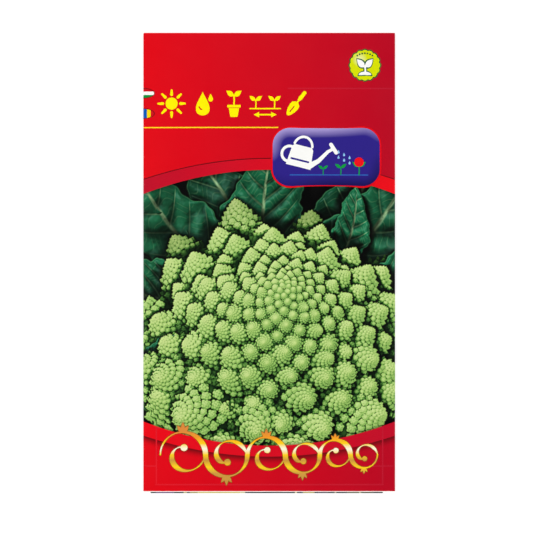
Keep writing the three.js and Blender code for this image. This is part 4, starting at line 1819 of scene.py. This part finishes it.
def set_lamp(name, azimuth, elevation, energy, softness):
    """A wide lamp far off, seen from the packet in this direction; all in degrees but the energy."""
    lamp = bpy.data.lights.new(name, "SUN")
    lamp.energy, lamp.angle = energy, math.radians(softness)
    holder = bpy.data.objects.new(name, lamp)
    holder.rotation_euler = (0, math.radians(90 - elevation), math.radians(azimuth))
    bpy.context.scene.collection.objects.link(holder)


def set_camera(look):
    camera = bpy.data.cameras.new("camera")
    camera.lens, camera.sensor_width = look.lens, 36
    camera.clip_start, camera.clip_end = 0.01, 50
    eye = bpy.data.objects.new("camera", camera)
    eye.location = (*CAMERA_PLACE, look.camera_height)
    bpy.context.scene.collection.objects.link(eye)
    bpy.context.scene.camera = eye


class PACKET_OT_stage(bpy.types.Operator):
    """Sets out the pale floor, the lamps of a copying stand and the camera above them"""

    bl_idname = "packet.stage"
    bl_label = "Set the stage"

    def execute(self, context):
        scene, look = context.scene, context.scene.packet_stage
        scene.view_settings.view_transform = "Standard"
        set_floor(look)
        for name, azimuth, elevation, strength in LAMPS:
            set_lamp(name, azimuth, elevation, strength * look.light, look.softness)
        scene.world = studio_world(look)
        set_camera(look)
        return {"FINISHED"}


OPERATORS = (
    PACKET_OT_envelope, PACKET_OT_picture, PACKET_OT_bands, PACKET_OT_seam_marks, PACKET_OT_growing_signs,
    PACKET_OT_rule, PACKET_OT_ovals, PACKET_OT_badge, PACKET_OT_plaque, PACKET_OT_scroll,
    PACKET_OT_colour_bar, PACKET_OT_back_banner, PACKET_OT_back_calendar, PACKET_OT_back_signs,
    PACKET_OT_contents, PACKET_OT_stage,
)


class PACKET_PT_panel(bpy.types.Panel):
    """Settings and steps of the seed packet"""

    bl_idname = "PACKET_PT_panel"
    bl_label = "Seed packet"
    bl_space_type = "VIEW_3D"
    bl_region_type = "UI"
    bl_category = "Seed packet"

    def draw(self, context):
        layout = self.layout
        for title, settings in (
            ("Paper", context.scene.packet_paper), ("Print", context.scene.packet_print),
            ("Stage", context.scene.packet_stage),
        ):
            box = layout.box()
            box.label(text=title)
            for name in settings.bl_rna.properties.keys():
                if name not in ("rna_type", "name"):
                    box.prop(settings, name)
        for operator in OPERATORS:
            layout.operator(operator.bl_idname)


SETTINGS = {"packet_paper": PacketPaper, "packet_print": PacketPrint, "packet_stage": PacketStage}
CLASSES = (*SETTINGS.values(), *OPERATORS, PACKET_PT_panel)


def register():
    for cls in CLASSES:
        bpy.utils.register_class(cls)
    for name, cls in SETTINGS.items():
        setattr(bpy.types.Scene, name, PointerProperty(type=cls))


def unregister():
    for name in SETTINGS:
        delattr(bpy.types.Scene, name)
    for cls in reversed(CLASSES):
        bpy.utils.unregister_class(cls)


def main():
    register()
    for operator in OPERATORS:
        group, name = operator.bl_idname.split(".")
        getattr(getattr(bpy.ops, group), name)()


if __name__ == "__main__":
    main()
